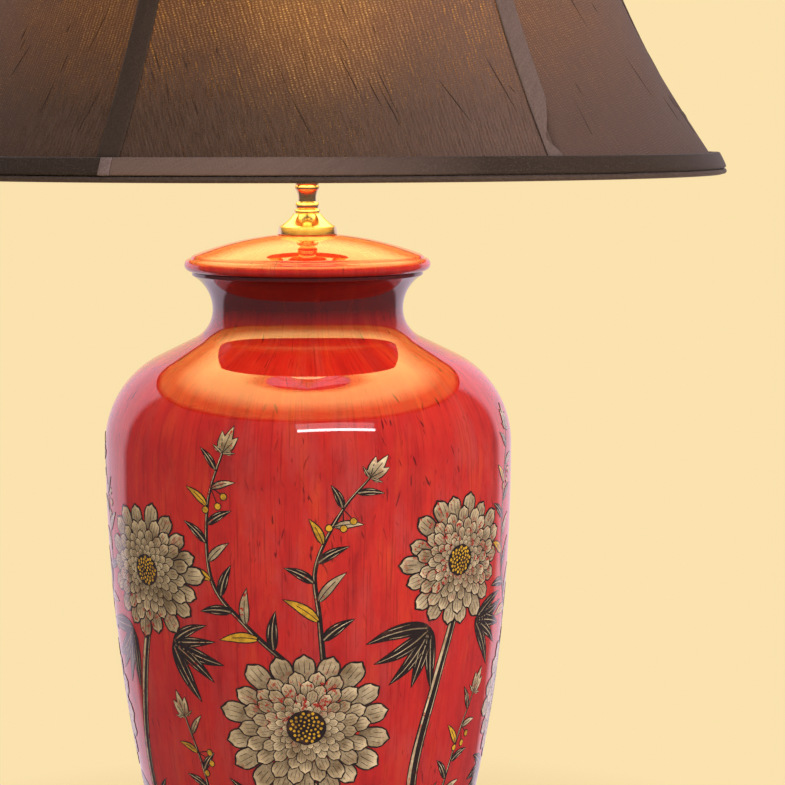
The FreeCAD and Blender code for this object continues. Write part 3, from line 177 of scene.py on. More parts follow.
class Shape(Tree):
    # A Geometry Nodes tree with named inputs, which it holds as wires.
    def __init__(self, name, counts=(), measures=()):
        super().__init__(bpy.data.node_groups.new(name, "GeometryNodeTree"))
        asked = [("Geometry", "Geometry"), *((label, "Int") for label in counts),
                 *((label, "Float") for label in measures), ("Material", "Material")]
        for label, kind in asked:
            self.nodeTree.interface.new_socket(label, in_out="INPUT", socket_type="NodeSocket" + kind)
        self.nodeTree.interface.new_socket("Geometry", in_out="OUTPUT", socket_type="NodeSocketGeometry")
        labels = tuple(label for label, kind in asked)
        self.given = dict(zip(labels, self.add("NodeGroupInput", {}, labels)))
        self.place = self.add("GeometryNodeInputPosition")
        self.index = self.add("GeometryNodeInputIndex")

    def moved(self, shape, position):
        return self.add("GeometryNodeSetPosition", {"Geometry": shape, "Position": position})

    def chance(self, low, high, seed):
        return self.add("FunctionNodeRandomValue", {2: low, 3: high, "Seed": seed}, 1)

    def setOut(self, points, instance, rotation, scale):
        copies = self.add("GeometryNodeInstanceOnPoints", {
            "Points": points, "Instance": instance, "Rotation": rotation, "Scale": scale})
        return self.add("GeometryNodeRealizeInstances", {"Geometry": copies})

    def end(self, shape):
        coated = self.add("GeometryNodeSetMaterial", {"Geometry": shape, "Material": self.given["Material"]})
        self.add("NodeGroupOutput", {0: coated})
        return self


def rgb(*parts):
    # A colour written 0 to 255 as a screen shows it.
    shares = [part / 255 for part in parts]
    return (*(s / 12.92 if s <= 0.04045 else ((s + 0.055) / 1.055) ** 2.4 for s in shares), 1.0)


def dimmed(tone, factor):
    return (*(min(1.0, factor * part) for part in tone[:3]), 1.0)


# Finishes

clearCoat = {"Specular IOR Level": 0.0, "Coat Weight": 1.0, "Coat Roughness": 0.035, "Coat IOR": 1.85}
clothSheen = {"Specular IOR Level": 0.15, "Sheen Weight": 0.12, "Sheen Roughness": 0.4}
lacquer = dict(streakScale=150.0, streakStretch=0.06, grainScale=900.0, grainStretch=0.03,
               hazeScale=42.0, hazeStretch=0.4, hazeLean=0.04,
               washScale=70.0, washStretch=0.2, washLean=-0.05,
               brushScale=420.0, brushStretch=0.22, brushLean=0.35, mottleScale=24.0, patchScale=15.0,
               beltRadius=0.12, neckShadeLow=0.392, neckShadeHigh=0.412, neckShadeEdge=0.436, neckShadeFade=0.004)


def jarPlace(finish, stretch, lean=0.0):
    # Round the jar by heading, and up it by height, squeezed so that a pattern runs upright.
    belt = lacquer["beltRadius"]
    flat = finish.place.stretched(1, 1, 0).vector("NORMALIZE")
    ring = flat.stretched(belt, belt, 0).vector("ADD", finish.place.stretched(0, 0, stretch))
    return ring.rotated(finish.height() * (lean / belt)) if lean else ring


def makeLacquer():
    # Red lacquer laid on by brush: clouded, faintly streaked, with sparse dark bristle marks. Painted shade
    # darkens it towards the foot, from the belly up, and most in the hollow of the neck.
    size, finish = lacquer, Finish("redLacquer", (0.5, 0.03, 0.02), 0.4)
    height = finish.height()
    streaks = jarPlace(finish, size["streakStretch"]).noise(size["streakScale"], 4.0, 0.6)
    grain = jarPlace(finish, size["grainStretch"]).noise(size["grainScale"], 2.0)
    haze = jarPlace(finish, size["hazeStretch"], size["hazeLean"]).noise(size["hazeScale"], 6.0, 0.62)
    wash = jarPlace(finish, size["washStretch"], size["washLean"]).noise(size["washScale"], 6.0, 0.66)
    mottle = finish.place.noise(size["mottleScale"], 5.0, 0.6)
    patches = finish.place.noise(size["patchScale"], 2.0)
    tone = streaks.tones(0.3, 0.7, rgb(192, 39, 35), rgb(210, 43, 36))
    for pattern, low, high, share, colour in (
            (mottle, 0.5, 0.76, 0.5, rgb(224, 72, 50)),    # warm clouds
            (mottle, 0.48, 0.3, 0.5, rgb(166, 26, 32)),    # deep clouds
            (haze, 0.5, 0.72, 0.6, rgb(192, 84, 84)),
            (wash, 0.52, 0.72, 0.6, rgb(226, 82, 38)),
            (wash, 0.46, 0.3, 0.6, rgb(138, 20, 24)),
            (grain, 0.54, 0.7, 0.42, rgb(110, 13, 16))):
        tone = pattern.layer(tone, low, high, share, colour)
    for lean, share in ((size["brushLean"], 0.85), (-size["brushLean"] * 0.7, 0.7), (0.06, 0.8)):
        brush = jarPlace(finish, size["brushStretch"], lean).noise(size["brushScale"], 1.0)
        marks = brush.ramp(0.7, 0.75, 0.0, share) * patches.ramp(0.44, 0.6, 0.25, 1.0)
        tone = finish.mix(marks, tone, rgb(64, 12, 12))
    # painted shade: the lacquer darkens towards the foot
    tone = height.layer(tone, 0.3, 0.1, 0.45, rgb(158, 24, 34))
    # painted shade: the lacquer darkens from the top of the belly up
    tone = height.layer(tone, 0.28, 0.36, 0.28, rgb(116, 14, 16))
    # painted shade: darkest in the hollow of the neck, under the lid
    edge = height.ramp(size["neckShadeEdge"], size["neckShadeEdge"] - size["neckShadeFade"])
    neckShade = height.ramp(size["neckShadeLow"], size["neckShadeHigh"]).maths("MINIMUM", edge)
    tone = finish.mix(neckShade * streaks.ramp(0.3, 0.7, 0.93, 0.88), tone, rgb(58, 8, 8))
    return finish.feed({"Base Color": tone, **clearCoat})


def makeLeaf():
    # Champagne leaf with red rubbed through it, under the same clear coat. The map runs along
    # each petal from its root.
    finish = Finish("champagneLeaf", (0.45, 0.34, 0.22), 0.42)
    place, along = finish.place, finish.cloth.parts()[1]
    tone = place.noise(90.0, 5.0, 0.65).tones(0.35, 0.65, rgb(158, 138, 106), rgb(244, 228, 194))
    umber = along.ramp(0.7, 0.0, 0.0, 0.85) * place.noise(900.0, 3.0, 0.6).ramp(0.3, 0.6, 0.55, 1.0)
    worn = place.noise(260.0, 5.0, 0.72).ramp(0.55, 0.59) * place.noise(17.0, 1.0).ramp(0.44, 0.54)
    tone = finish.mix(worn, finish.mix(umber, tone, rgb(70, 56, 36)), rgb(178, 46, 34))
    return finish.feed({"Base Color": tone, "Metallic": 0.12, **clearCoat})


def makePaint(name, tone, scale, coarseness, low, high, first, second):
    finish = Finish(name, tone, 0.4)
    cloudy = finish.place.noise(scale, 4.0, coarseness)
    return finish.feed({"Base Color": cloudy.tones(low, high, first, second), **clearCoat})


def makeMetal(name, light, dark, roughness, grain):
    # Turned metal: fine level rings left by the tool, clouded by handling.
    finish = Finish(name, light, roughness)
    rings = finish.place.stretched(2, 2, 900).noise(2.0, 2.0)
    cloudy = finish.place.noise(75.0, 4.0, 0.6)
    return finish.feed({"Base Color": cloudy.tones(0.42, 0.7, light, dark), "Metallic": 1.0,
                        "Roughness": cloudy.ramp(0.3, 0.75, roughness, roughness * 1.9),
                        "Normal": finish.bump(rings, grain, 0.4)})


def makeWood():
    finish = Finish("darkWood", (0.05, 0.025, 0.016), 0.33)
    grain = finish.place.stretched(14, 1, 14).noise(9.0, 6.0, 0.6)
    pores = finish.place.stretched(18, 1, 18).noise(60.0, 2.0)
    tone = grain.tones(0.38, 0.64, rgb(34, 19, 14), rgb(84, 47, 30))
    return finish.feed({"Base Color": pores.layer(tone, 0.6, 0.7, 0.7, rgb(16, 9, 7)), "Coat Weight": 0.5,
                        "Coat Roughness": 0.12, "Normal": finish.bump(pores, 0.0002, 0.35)})


def makePlain(name, tone, roughness, scale=400.0, bump=0.00005):
    # A moulded, painted or pressed surface: faint cloudiness and a fine skin.
    finish = Finish(name, tone, roughness)
    cloudy = finish.place.noise(scale / 6, 3.0)
    return finish.feed({"Base Color": cloudy.tones(0.35, 0.7, tone, dimmed(tone, 0.75)),
                        "Normal": finish.bump(finish.place.noise(scale, 2.0), bump, 0.5)})


def makeFelt():
    finish = Finish("greenFelt", rgb(34, 56, 40), 0.95)
    fuzz = finish.place.noise(1300.0, 5.0, 0.7)
    return finish.feed({"Base Color": fuzz.tones(0.3, 0.7, rgb(22, 40, 28), rgb(58, 84, 62)),
                        "Sheen Weight": 0.5, "Normal": finish.bump(fuzz, 0.0006, 0.8)})


silk = dict(grainAngle=-12.0, warpPitch=0.0021, warpWaver=160.0, weftPitch=0.0014, weftWaver=210.0,
            waver=0.002, streakScale=700.0, fineScale=1300.0, threadScale=900.0,
            glow=0.31, scatter=0.66, bend=1.16)
biasAngle = 45.0
# where the band's join stands, and where its painted sheen fades out
bandJoinAndSheen = dict(join=-111.0, fade=-92.0, dim=-66.0)  # headings in degrees
litBulb = dict(height=0.617, upShare=0.55, near=0.035, far=0.09, bright=2.4, dim=0.06)


class Cloth(Finish):
    # Woven cloth: faint streaks along the grain, the weave's height, and the open specks where
    # the light comes through between warp and weft.
    def __init__(self, name, tone, roughness, angle):
        super().__init__(name, tone, roughness)
        grain = self.cloth.rotated(math.radians(angle))
        self.streaks = grain.stretched(1, 0.12, 1).noise(silk["streakScale"], 4.0, 0.65)
        self.fine = grain.stretched(1, 0.6, 1).noise(silk["fineScale"], 3.0, 0.7)
        threads = grain.stretched(1, 0.07, 1).noise(silk["threadScale"], 2.0)
        waves = []
        for part, thread in zip(grain.parts(), ("warp", "weft")):
            shift = grain.noise(silk[thread + "Waver"], 2.0) * silk["waver"]
            waves.append(((part + shift) * (turn / silk[thread + "Pitch"])).maths("SINE") * 0.5 + 0.5)
        self.weave = (waves[0] + waves[1]) * 0.45 + self.fine * 2.0
        between = waves[0].maths("POWER", 0.7) * waves[1].maths("POWER", 0.6)
        self.specks = between * self.fine.ramp(0.36, 0.66, 0.15, 1.1) * threads.ramp(0.32, 0.66, 0.35, 1.2)


def makeSilk(name, low, high, angle=biasAngle, glow=0.0):
    # A glowing cloth passes part of the bulb's light on, most where the weave is open. Painted sheen
    # makes it paler on its right side.
    finish = Cloth(name, low, 0.6, angle)
    tone = finish.streaks.tones(0.32, 0.68, low, high)
    tone = finish.fine.layer(tone, 0.5, 0.72, 0.4, dimmed(high, 1.9))
    tone = finish.fine.layer(tone, 0.48, 0.3, 0.5, dimmed(low, 0.4))
    if glow:
        heading = finish.heading()
        # painted sheen: the silk is paler on its right, where the fill light falls
        paintedSheen = heading.ramp(-1.52, -1.1, 0.0, 0.3).maths("MINIMUM", heading.ramp(2.6, 1.6, 0.0, 0.3))
        tone = finish.mix(paintedSheen, tone, rgb(152, 126, 118))
        through = finish.mix(finish.specks, rgb(190, 156, 118), rgb(255, 238, 190))
        finish.passOn(finish.specks * (glow * 2.4) + glow * 0.6, "ShaderNodeBsdfRefraction", {
            "Color": through, "Roughness": silk["scatter"], "IOR": silk["bend"]})
    return finish.feed({"Base Color": tone, "Normal": finish.bump(finish.weave, 0.00006, 0.5), **clothSheen})


def makeBandSilk():
    # Bias silk with painted sheen: pale where the band faces the front, from the join on, and dark past it.
    finish = Cloth("bandSilk", (0.05, 0.04, 0.03), 0.55, biasAngle)
    join, fade, dim = (math.radians(bandJoinAndSheen[key]) for key in ("join", "fade", "dim"))
    heading = finish.heading()
    frontSheen = heading.ramp(dim, fade) * heading.ramp(join - 0.002, join + 0.002)
    dark = finish.streaks.tones(0.2, 0.8, rgb(50, 41, 34), rgb(62, 50, 42))
    pale = finish.streaks.tones(0.2, 0.8, rgb(108, 88, 80), rgb(128, 105, 96))
    tone = finish.fine.layer(finish.mix(frontSheen, dark, pale), 0.52, 0.72, 0.3, rgb(146, 124, 114))
    return finish.feed({"Base Color": tone, "Normal": finish.bump(finish.weave, 0.00008, 0.7), **clothSheen})


def makeLining():
    finish = Cloth("liningCloth", rgb(236, 216, 160), 0.6, 0.0)
    tone = finish.streaks.tones(0.3, 0.7, rgb(226, 200, 140), rgb(246, 228, 176))
    finish.passOn(0.85, "ShaderNodeBsdfTranslucent", {"Color": rgb(252, 224, 176)})
    return finish.feed({"Base Color": tone, "Normal": finish.bump(finish.weave, 0.0001, 0.5)})


def makeLitLining():
    # The lining's inner face glows: painted light standing in for the bulb's light on it, brightest level
    # with the bulb.
    finish, size = Cloth("litLining", rgb(240, 220, 164), 0.6, 0.0), litBulb
    above = finish.height() - size["height"]
    away = (above * -1.0).maths("MAXIMUM", above * size["upShare"])
    glare = away.ramp(size["near"], size["far"], size["bright"], size["dim"])
    tone = finish.streaks.tones(0.3, 0.7, rgb(255, 236, 146), rgb(255, 242, 164))
    return finish.feed({"Normal": finish.bump(finish.weave, 0.0001, 0.5), "Emission Color": tone,
                        "Emission Strength": glare.maths("MAXIMUM", above.ramp(0.0, 0.04, 0.0, 0.5))})


def makeBulbGlass():
    # Frosted glass lit from within, dimmer towards its cap.
    finish, foot = Finish("litGlass", rgb(255, 244, 220), 0.35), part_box("bulb_glass")[0].z
    tone = finish.place.noise(60.0, 2.0).tones(0.35, 0.65, rgb(255, 226, 170), rgb(255, 240, 206))
    return finish.feed({"Base Color": tone, "Emission Color": tone,
                        "Emission Strength": finish.height().ramp(foot, foot + 0.05, 0.35, 3.2)})


finishes = {
    "lacquer": makeLacquer(),
    "leaf": makeLeaf(),
    "ink": makePaint("inkBlack", (0.02, 0.014, 0.011), 140.0, 0.65, 0.55, 0.7,
                     rgb(30, 22, 20), rgb(74, 48, 38)),
    "amber": makePaint("amberYellow", (0.7, 0.5, 0.06), 180.0, 0.6, 0.4, 0.66,
                       rgb(222, 176, 44), rgb(150, 112, 34)),
    "turnedBrass": makeMetal("turnedBrass", rgb(244, 226, 178), rgb(216, 182, 124), 0.12, 0.00004),
    "harpBrass": makeMetal("platedBrass", rgb(226, 186, 104), rgb(180, 138, 66), 0.24, 0.00003),
    "socketBrass": makeMetal("pressedBrass", rgb(230, 190, 100), rgb(188, 146, 70), 0.2, 0.00002),
    "steel": makeMetal("zincSteel", rgb(196, 198, 200), rgb(146, 148, 150), 0.32, 0.00003),
    "aluminium": makeMetal("capAluminium", rgb(206, 206, 208), rgb(164, 164, 168), 0.28, 0.00003),
    "wire": makeMetal("frameWire", rgb(206, 182, 130), rgb(150, 124, 80), 0.36, 0.00002),
    "wood": makeWood(),
    "felt": makeFelt(),
    "bushing": makePlain("bushingBlack", (0.02, 0.02, 0.02, 1.0), 0.35),
    "board": makePlain("insulatingBoard", rgb(176, 152, 112), 0.85, 900.0, 0.0001),
    "core": makePlain("brownPhenolic", rgb(66, 42, 28), 0.42),
    "knob": makePlain("blackPhenolic", rgb(24, 22, 22), 0.28),
    "tip": makePlain("glassInsulator", (0.015, 0.015, 0.02, 1.0), 0.15),
    "silk": makeSilk("slubSilk", rgb(82, 61, 50), rgb(112, 88, 75), silk["grainAngle"], silk["glow"]),
    # a darker copy of the silk: painted shade for the gore that takes less light
    "silkPaintedShade": makeSilk("slubSilkAway", rgb(76, 56, 47), rgb(102, 79, 67), silk["grainAngle"], silk["glow"]),
    "tape": makeSilk("biasSilk", rgb(102, 85, 79), rgb(118, 99, 92)),
    # a darker copy of the tape: painted shade for the tapes on the left side
    "tapePaintedShade": makeSilk("biasSilkAway", rgb(62, 49, 41), rgb(72, 58, 48)),
    "band": makeBandSilk(),
    "roll": makeSilk("rollSilk", rgb(70, 57, 50), rgb(90, 75, 68)),
    "join": makeSilk("joinSilk", rgb(112, 94, 92), rgb(134, 114, 112)),
    "slub": makePlain("slubThread", rgb(54, 38, 30), 0.8, 900.0, 0.00005),
    "lining": makeLining(),
    "litLining": makeLitLining(),
    "bulb": makeBulbGlass(),
}
print("finishes made:", len(finishes))


# Meshes

def linked(name, data):
    obj = bpy.data.objects.new(name, data)
    bpy.context.scene.collection.objects.link(obj)
    return obj


def placed(obj, body, finish, replaced=()):
    obj.data.materials.clear()
    obj.data.materials.append(finishes[finish])
    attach(obj, body)
    if replaced:
        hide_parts(*replaced)
    return obj


def meshObject(name, points, faces, maps=None):
    mesh = bpy.data.meshes.new(name)
    mesh.from_pydata([Vector(point) * mm for point in points], [], faces)
    if maps:
        layer = mesh.uv_layers.new(name="cloth")
        for loop in mesh.loops:
            layer.data[loop.index].uv = Vector(maps[loop.vertex_index]) * mm
    mesh.shade_smooth()
    return linked(name, mesh)


def reach(radius, offset):
    # How far a circle reaches, at an offset from its middle.
    return math.sqrt(radius ** 2 - offset ** 2)


def arcBetween(tail, head, radius, side, sag=0.01, widest=7.5):
    # Points after the tail, up to the head, on the arc that turns left or right between them.
    half = (head - tail) / 2
    left = Vector((-half.y, half.x)).normalized()
    sign = 1 if side == "left" else -1
    centre = tail + half + left * sign * math.sqrt(max(0.0, radius ** 2 - half.length ** 2))
    start = math.atan2(tail.y - centre.y, tail.x - centre.x)
    sweep = (math.atan2(head.y - centre.y, head.x - centre.x) - start) * sign % turn * sign
    count = max(2, math.ceil(abs(sweep) / min(math.radians(widest), 2 * math.acos(1 - sag / radius))))
    angles = [start + sweep * step / count for step in range(1, count + 1)]
    return [centre + radius * Vector((math.cos(angle), math.sin(angle))) for angle in angles]


def outline(corners):
    # Each corner is (radius, height), or (radius, height, arc radius, "left" or "right").
    points = [Vector(corners[0][:2])]
    for corner in corners[1:]:
        head = Vector(corner[:2])
        points += arcBetween(points[-1], head, *corner[2:]) if len(corner) == 4 else [head]
    return points


def grown(obj, shape, finish, values=None):
    # Runs a shape tree on an object and keeps the result as its plain mesh.
    values = {**(values or {}), "Material": finishes[finish]}
    modifier = obj.modifiers.new("shape", "NODES")
    modifier.node_group = shape.nodeTree
    for item in shape.nodeTree.interface.items_tree:
        if item.in_out == "INPUT" and item.name in values:
            modifier[item.identifier] = values[item.name]
    shaped = obj.evaluated_get(bpy.context.evaluated_depsgraph_get())
    mesh = bpy.data.meshes.new_from_object(shaped)
    obj.modifiers.clear()
    obj.data = mesh
    return obj


def latheTree():
    # Turns a chain of points in the XZ plane round Z. Wobble is the unevenness of hand work.
    tree = Shape("turnRoundAxis", ["Segments"], ["Wobble"])
    chain, segments = tree.given["Geometry"], tree.given["Segments"]
    count = tree.add("GeometryNodeAttributeDomainSize", {0: chain}, "Point Count")
    grid = tree.add("GeometryNodeMeshGrid", {
        "Size X": 1.0, "Size Y": 1.0, "Vertices X": segments + 1.0, "Vertices Y": count})
    column = (tree.index / count).maths("FLOOR")
    row = tree.index - column * count
    found = tree.add("GeometryNodeSampleIndex", {"Geometry": chain, "Value": tree.place, "Index": row},
                     data_type="FLOAT_VECTOR")
    radius, depth, height = found.parts()
    angle = column / segments * turn
    spot = tree.xyz(radius * angle.maths("COSINE"), radius * angle.maths("SINE"), height)
    uneven = (spot.noise(14.0, 2.0) - 0.5) * tree.given["Wobble"]
    push = spot.stretched(1, 1, 0).vector("NORMALIZE").scaled(uneven)
    welded = tree.add("GeometryNodeMergeByDistance", {
        "Geometry": tree.moved(grid, spot.vector("ADD", push)), "Distance": weldDistance})
    return tree.end(tree.add("GeometryNodeSetShadeSmooth", {"Geometry": welded}))


turning = latheTree()


def outwardFaces(mesh, sharpness=sharpAngle):
    work = bmesh.new()
    work.from_mesh(mesh)
    bmesh.ops.remove_doubles(work, verts=work.verts, dist=weldDistance)
    bmesh.ops.dissolve_degenerate(work, edges=work.edges, dist=weldDistance / 2)
    bmesh.ops.recalc_face_normals(work, faces=work.faces)
    work.to_mesh(mesh)
    work.free()
    mesh.shade_smooth()
    mesh.set_sharp_from_angle(angle=math.radians(sharpness))


def turnedPiece(name, corners, finish, replaced, segments=128, edge=0.0, wobble=0.0):
    # A closed outline, turned round the lamp's axis, with its edges eased.
    points = outline(corners)
    if (points[0] - points[-1]).length > 0.001:
        points.append(points[0].copy())
    chain = meshObject(name, [(point.x, 0, point.y) for point in points], [])
    grown(chain, turning, finish, {"Segments": segments, "Wobble": wobble * mm})
    outwardFaces(chain.data)
    if edge:
        bevel = chain.modifiers.new("easedEdges", "BEVEL")
        bevel.width = edge * mm
        bevel.segments = 2
        bevel.limit_method = "ANGLE"
        bevel.angle_limit = math.radians(sharpAngle)
        bevel.harden_normals = True
    return placed(chain, "lamp", finish, replaced)


def heightOf(node, end):
    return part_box(node)[end].z / mm


# Felt under the stand

def makeFeltPad():
    low, high = heightOf("felt_pad", 0), heightOf("felt_pad", 1)
    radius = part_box("felt_pad")[1].x / mm
    ease = (high - low) * 0.4
    pad = turnedPiece("feltPad", [
        (0, low), (radius - ease, low), (radius, low + ease, ease, "left"), (radius - 0.2, high), (0, high)],
        "felt", ["felt_pad"], 96, wobble=0.1)


# Jar and lid

jar = dict(footRadius=86.0, footHeight=10.0, bellyRadius=125.4, bellyHeight=292.0, bellyFlat=7.0,
           bodyCurve=1060.0, shoulderRadius=59.3, shoulderSlope=64.0, neckRadius=58.7, neckCurve=20.0,
           mouthCurve=24.0, mouthSlope=61.0, lip=2.4, wall=6.0, floor=9.0, pipeHole=6.0, segments=256,
           edge=0.7)
lid = dict(height=22.8, lip=71.6, dome=195.0, domeEdge=69.5, roll=4.5, rollSlope=62.0, nose=3.9, flat=19.0,
           thickness=7.0, spigotDepth=8.0, spigotWall=5.0, spigotPlay=0.8, edge=0.5)


def makeJar():
    # The foot, the outer line up to the mouth, and the inner line back down.
    wide, curve, arc = jar["bellyRadius"], jar["bodyCurve"], jar["shoulderRadius"]
    waistRadius, neckArc, flareArc, wall = jar["neckRadius"], jar["neckCurve"], jar["mouthCurve"], jar["wall"]
    slope, mouthSlope = math.radians(jar["shoulderSlope"]), math.radians(jar["mouthSlope"])
    seat = heightOf("jar", 0)
    footTop, floor, belly = seat + jar["footHeight"], seat + jar["floor"], seat + jar["bellyHeight"]
    shoulder = belly + jar["bellyFlat"]
    slopeFoot = shoulder + arc * math.sin(slope)
    slopeFootRadius = wide - arc * (1 - math.cos(slope))
    slopeTopRadius = waistRadius + neckArc * (1 - math.cos(slope))
    slopeTop = slopeFoot + (slopeFootRadius - slopeTopRadius) / math.tan(slope)
    waist = slopeTop + neckArc * math.sin(slope)
    flareEnd = waist + flareArc * math.sin(mouthSlope)
    mouthRadius = waistRadius + flareArc * (1 - math.cos(mouthSlope))
    mouth, bore = flareEnd + jar["lip"], waistRadius - wall
    innerFoot, innerFootRadius = slopeFoot - wall * math.sin(slope), slopeFootRadius - wall * math.cos(slope)
    innerCurve = curve - wall
    turnedPiece("jar", [
        (jar["pipeHole"], seat), (jar["footRadius"], seat), (jar["footRadius"], footTop),
        (wide - curve + reach(curve, belly - footTop), footTop), (wide, belly, curve, "left"),
        (wide, shoulder), (slopeFootRadius, slopeFoot, arc, "left"), (slopeTopRadius, slopeTop),
        (waistRadius, waist, neckArc, "right"), (mouthRadius, flareEnd, flareArc, "right"),
        (mouthRadius, mouth), (bore, mouth), (bore, innerFoot + (innerFootRadius - bore) / math.tan(slope)),
        (innerFootRadius, innerFoot), (wide - wall, shoulder, arc - wall, "right"), (wide - wall, belly),
        (wide - curve + reach(innerCurve, belly - floor), floor, innerCurve, "right"),
        (jar["pipeHole"], floor)],
        "lacquer", ["jar"], jar["segments"], jar["edge"])


def makeLid():
    dome, domeEdge, rollArc = lid["dome"], lid["domeEdge"], lid["roll"]
    mouth = heightOf("jar", 1)
    centre = mouth + lid["height"] - dome
    edge, flat = centre + reach(dome, domeEdge), centre + reach(dome, lid["flat"])
    lean, slope = domeEdge / dome, math.radians(lid["rollSlope"])
    rollRadius = domeEdge + rollArc * (math.sin(slope) - lean)
    rollEnd = edge - rollArc * (math.sqrt(1 - lean ** 2) - math.cos(slope))
    ring = jar["neckRadius"] - jar["wall"] - lid["spigotPlay"]
    ringBore, ringFoot = ring - lid["spigotWall"], mouth - lid["spigotDepth"]
    hole, ceiling = jar["pipeHole"], mouth + lid["thickness"]
    turnedPiece("lid", [
        (hole, ceiling), (ringBore, ceiling), (ringBore, ringFoot), (ring, ringFoot), (ring, mouth),
        (lid["lip"], mouth), (rollRadius, rollEnd, lid["nose"], "left"), (domeEdge, edge, rollArc, "left"),
        (lid["flat"], flat, dome, "left"), (hole, flat)],
        "lacquer", ["lid"], jar["segments"], lid["edge"])


# Brass cap and neck. Each step of the neck is its radius, its rise and the arc that leads to it.

cap = dict(bore=4.9, seat=1.1, radius=18.3, chamfer=0.4, chamferRise=0.5, side=5.2, lean=0.9, sideRound=30.0,
           rim=0.5, curve=25.0, top=8.4, segments=160, edge=0.25)
neckSteps = [(7.3, 0.0), (7.3, 2.6, 1.6, "left"),     # collar
             (6.2, 0.0), (6.2, 4.6, 2.9, "left"),     # bead
             (5.6, 0.0), (5.6, 2.4), (6.9, 4.8, 10.0, "right"),  # waist and flare
             (6.9, 3.0, 2.2, "left"), (6.9, 3.0, 2.2, "left"),   # two rings
             (9.2, 4.6), (9.2, 2.6)]                  # cone and table


def makeBrass():
    foot, capTop, radius = heightOf("vase_cap", 0) + cap["seat"], heightOf("neck", 0), cap["radius"]
    sideTop, rim = foot + cap["side"], radius - cap["lean"]
    turnedPiece("vaseCap", [
        (cap["bore"], foot), (radius - cap["chamfer"], foot), (radius, foot + cap["chamferRise"]),
        (rim, sideTop, cap["sideRound"], "left"), (rim - cap["rim"], sideTop),
        (cap["top"], capTop, cap["curve"], "right"), (cap["bore"], capTop)],
        "turnedBrass", ["vase_cap"], cap["segments"], cap["edge"])
    height, corners = capTop, [(cap["bore"], capTop)]
    for radius, rise, *arc in neckSteps:
        height += rise
        corners.append((radius, height, *arc))
    turnedPiece("neck", corners + [(cap["bore"], height)], "turnedBrass", ["neck"], edge=0.2)


makeFeltPad()
makeJar()
makeLid()
makeBrass()
print("felt, jar, lid and brass made")


# Painted flowers round the jar. They are drawn flat as thin closed plates, across from the jar's
# front and up from the table, and each shape tree ends by wrapping its plates onto the jar's curve.

paint = dict(belt=120.0, skin=0.35, cell=3.2, stemLift=0.06, sprayLift=0.1, leafLift=0.15, bloomLift=0.3,
             fine=0.018, line=1.05, edge=0.7, thinnest=0.12, seed=11)
bloom = dict(petals=18, rings=6, shrink=0.79, reach=0.37, ringStep=0.035, veinWidth=0.48, turnSpread=0.05,
             sizeSpread=0.06, heart=0.2, heartRim=0.035, pips=46, pipSize=0.85, pipTurn=137.508)
# across, up, radius, squash, turn in degrees
blooms = [(-101, 262, 43, 0.94, 8), (2, 176, 51, 0.9, 0), (99, 268, 42, 0.96, 13),
          (190, 170, 48, 0.92, 5), (283, 259, 44, 0.95, 17), (377, 174, 50, 0.9, 3),
          (-286, 264, 43, 0.96, 11), (-193, 164, 48, 0.93, 7)]
highBloom = 220  # a blossom above this has leaves low on its stem too
stems = dict(swing=34, width=10.5, taper=4.5, light=2.9, lightTaper=1.0, thread=0.5, leaves=5, leafTurn=22,
             lowLeaves=4, lowLong=38, lowTurn=62, lowRise=14)
leaves = dict(spread=20, sway=5, long=(0.8, 1.08), width=(0.21, 0.26), bend=0.16)
twigs = dict(width=3.6, taper=2.2, light=0.7, lightTaper=0.4, step=11.0, long=25, longTaper=10, lean=(46, 62),
             leafWidth=0.29, bend=0.12, budWidth=6.4, huskWidth=2.6, berries=3, berry=2.3, berryTurn=38)
# leafy sprays: across and up at the root, the bend and the tip
sprays = [((-8, 214), (-52, 262), (-44, 336)), ((12, 216), (8, 272), (38, 322)),
          ((182, 208), (150, 262), (158, 338)), ((198, 210), (238, 250), (226, 324)),
          ((370, 212), (326, 256), (336, 332)), ((386, 214), (420, 262), (406, 340)),
          ((-201, 206), (-238, 258), (-230, 334)), ((-185, 206), (-152, 262), (-166, 320)),
          ((-80, 46), (-62, 100), (-78, 176)), ((112, 46), (100, 110), (124, 182)),
          ((270, 46), (292, 104), (276, 178)), ((-300, 46), (-280, 108), (-296, 180))]


def wrapped(tree, shape):
    # Across becomes heading, up follows the belly and then the shoulder, and lift stands off both.
    belly = (heightOf("jar", 0) + jar["bellyHeight"]) * mm
    shoulder = belly + jar["bellyFlat"] * mm
    curve, arc, wide = (jar[key] * mm for key in ("bodyCurve", "shoulderRadius", "bellyRadius"))
    across, lift, up = tree.place.parts()
    heading = across * (1 / (paint["belt"] * mm)) - math.pi / 2
    below = (up - belly).maths("MINIMUM", 0.0)
    angle = (up - shoulder).maths("MAXIMUM", 0.0) / arc
    cosine, sine = angle.maths("COSINE"), angle.maths("SINE")
    bow = (curve ** 2 - below * below).maths("SQRT")
    radius = lift * cosine + (bow + (wide - curve - arc) + cosine * arc)
    height = lift * sine + (sine * arc + up.maths("MINIMUM", shoulder))
    spot = tree.xyz(radius * heading.maths("COSINE"), radius * heading.maths("SINE"), height)
    return tree.end(tree.moved(shape, spot))


def strokeTree():
    tree = Shape("wrapOnJar")
    return wrapped(tree, tree.given["Geometry"])


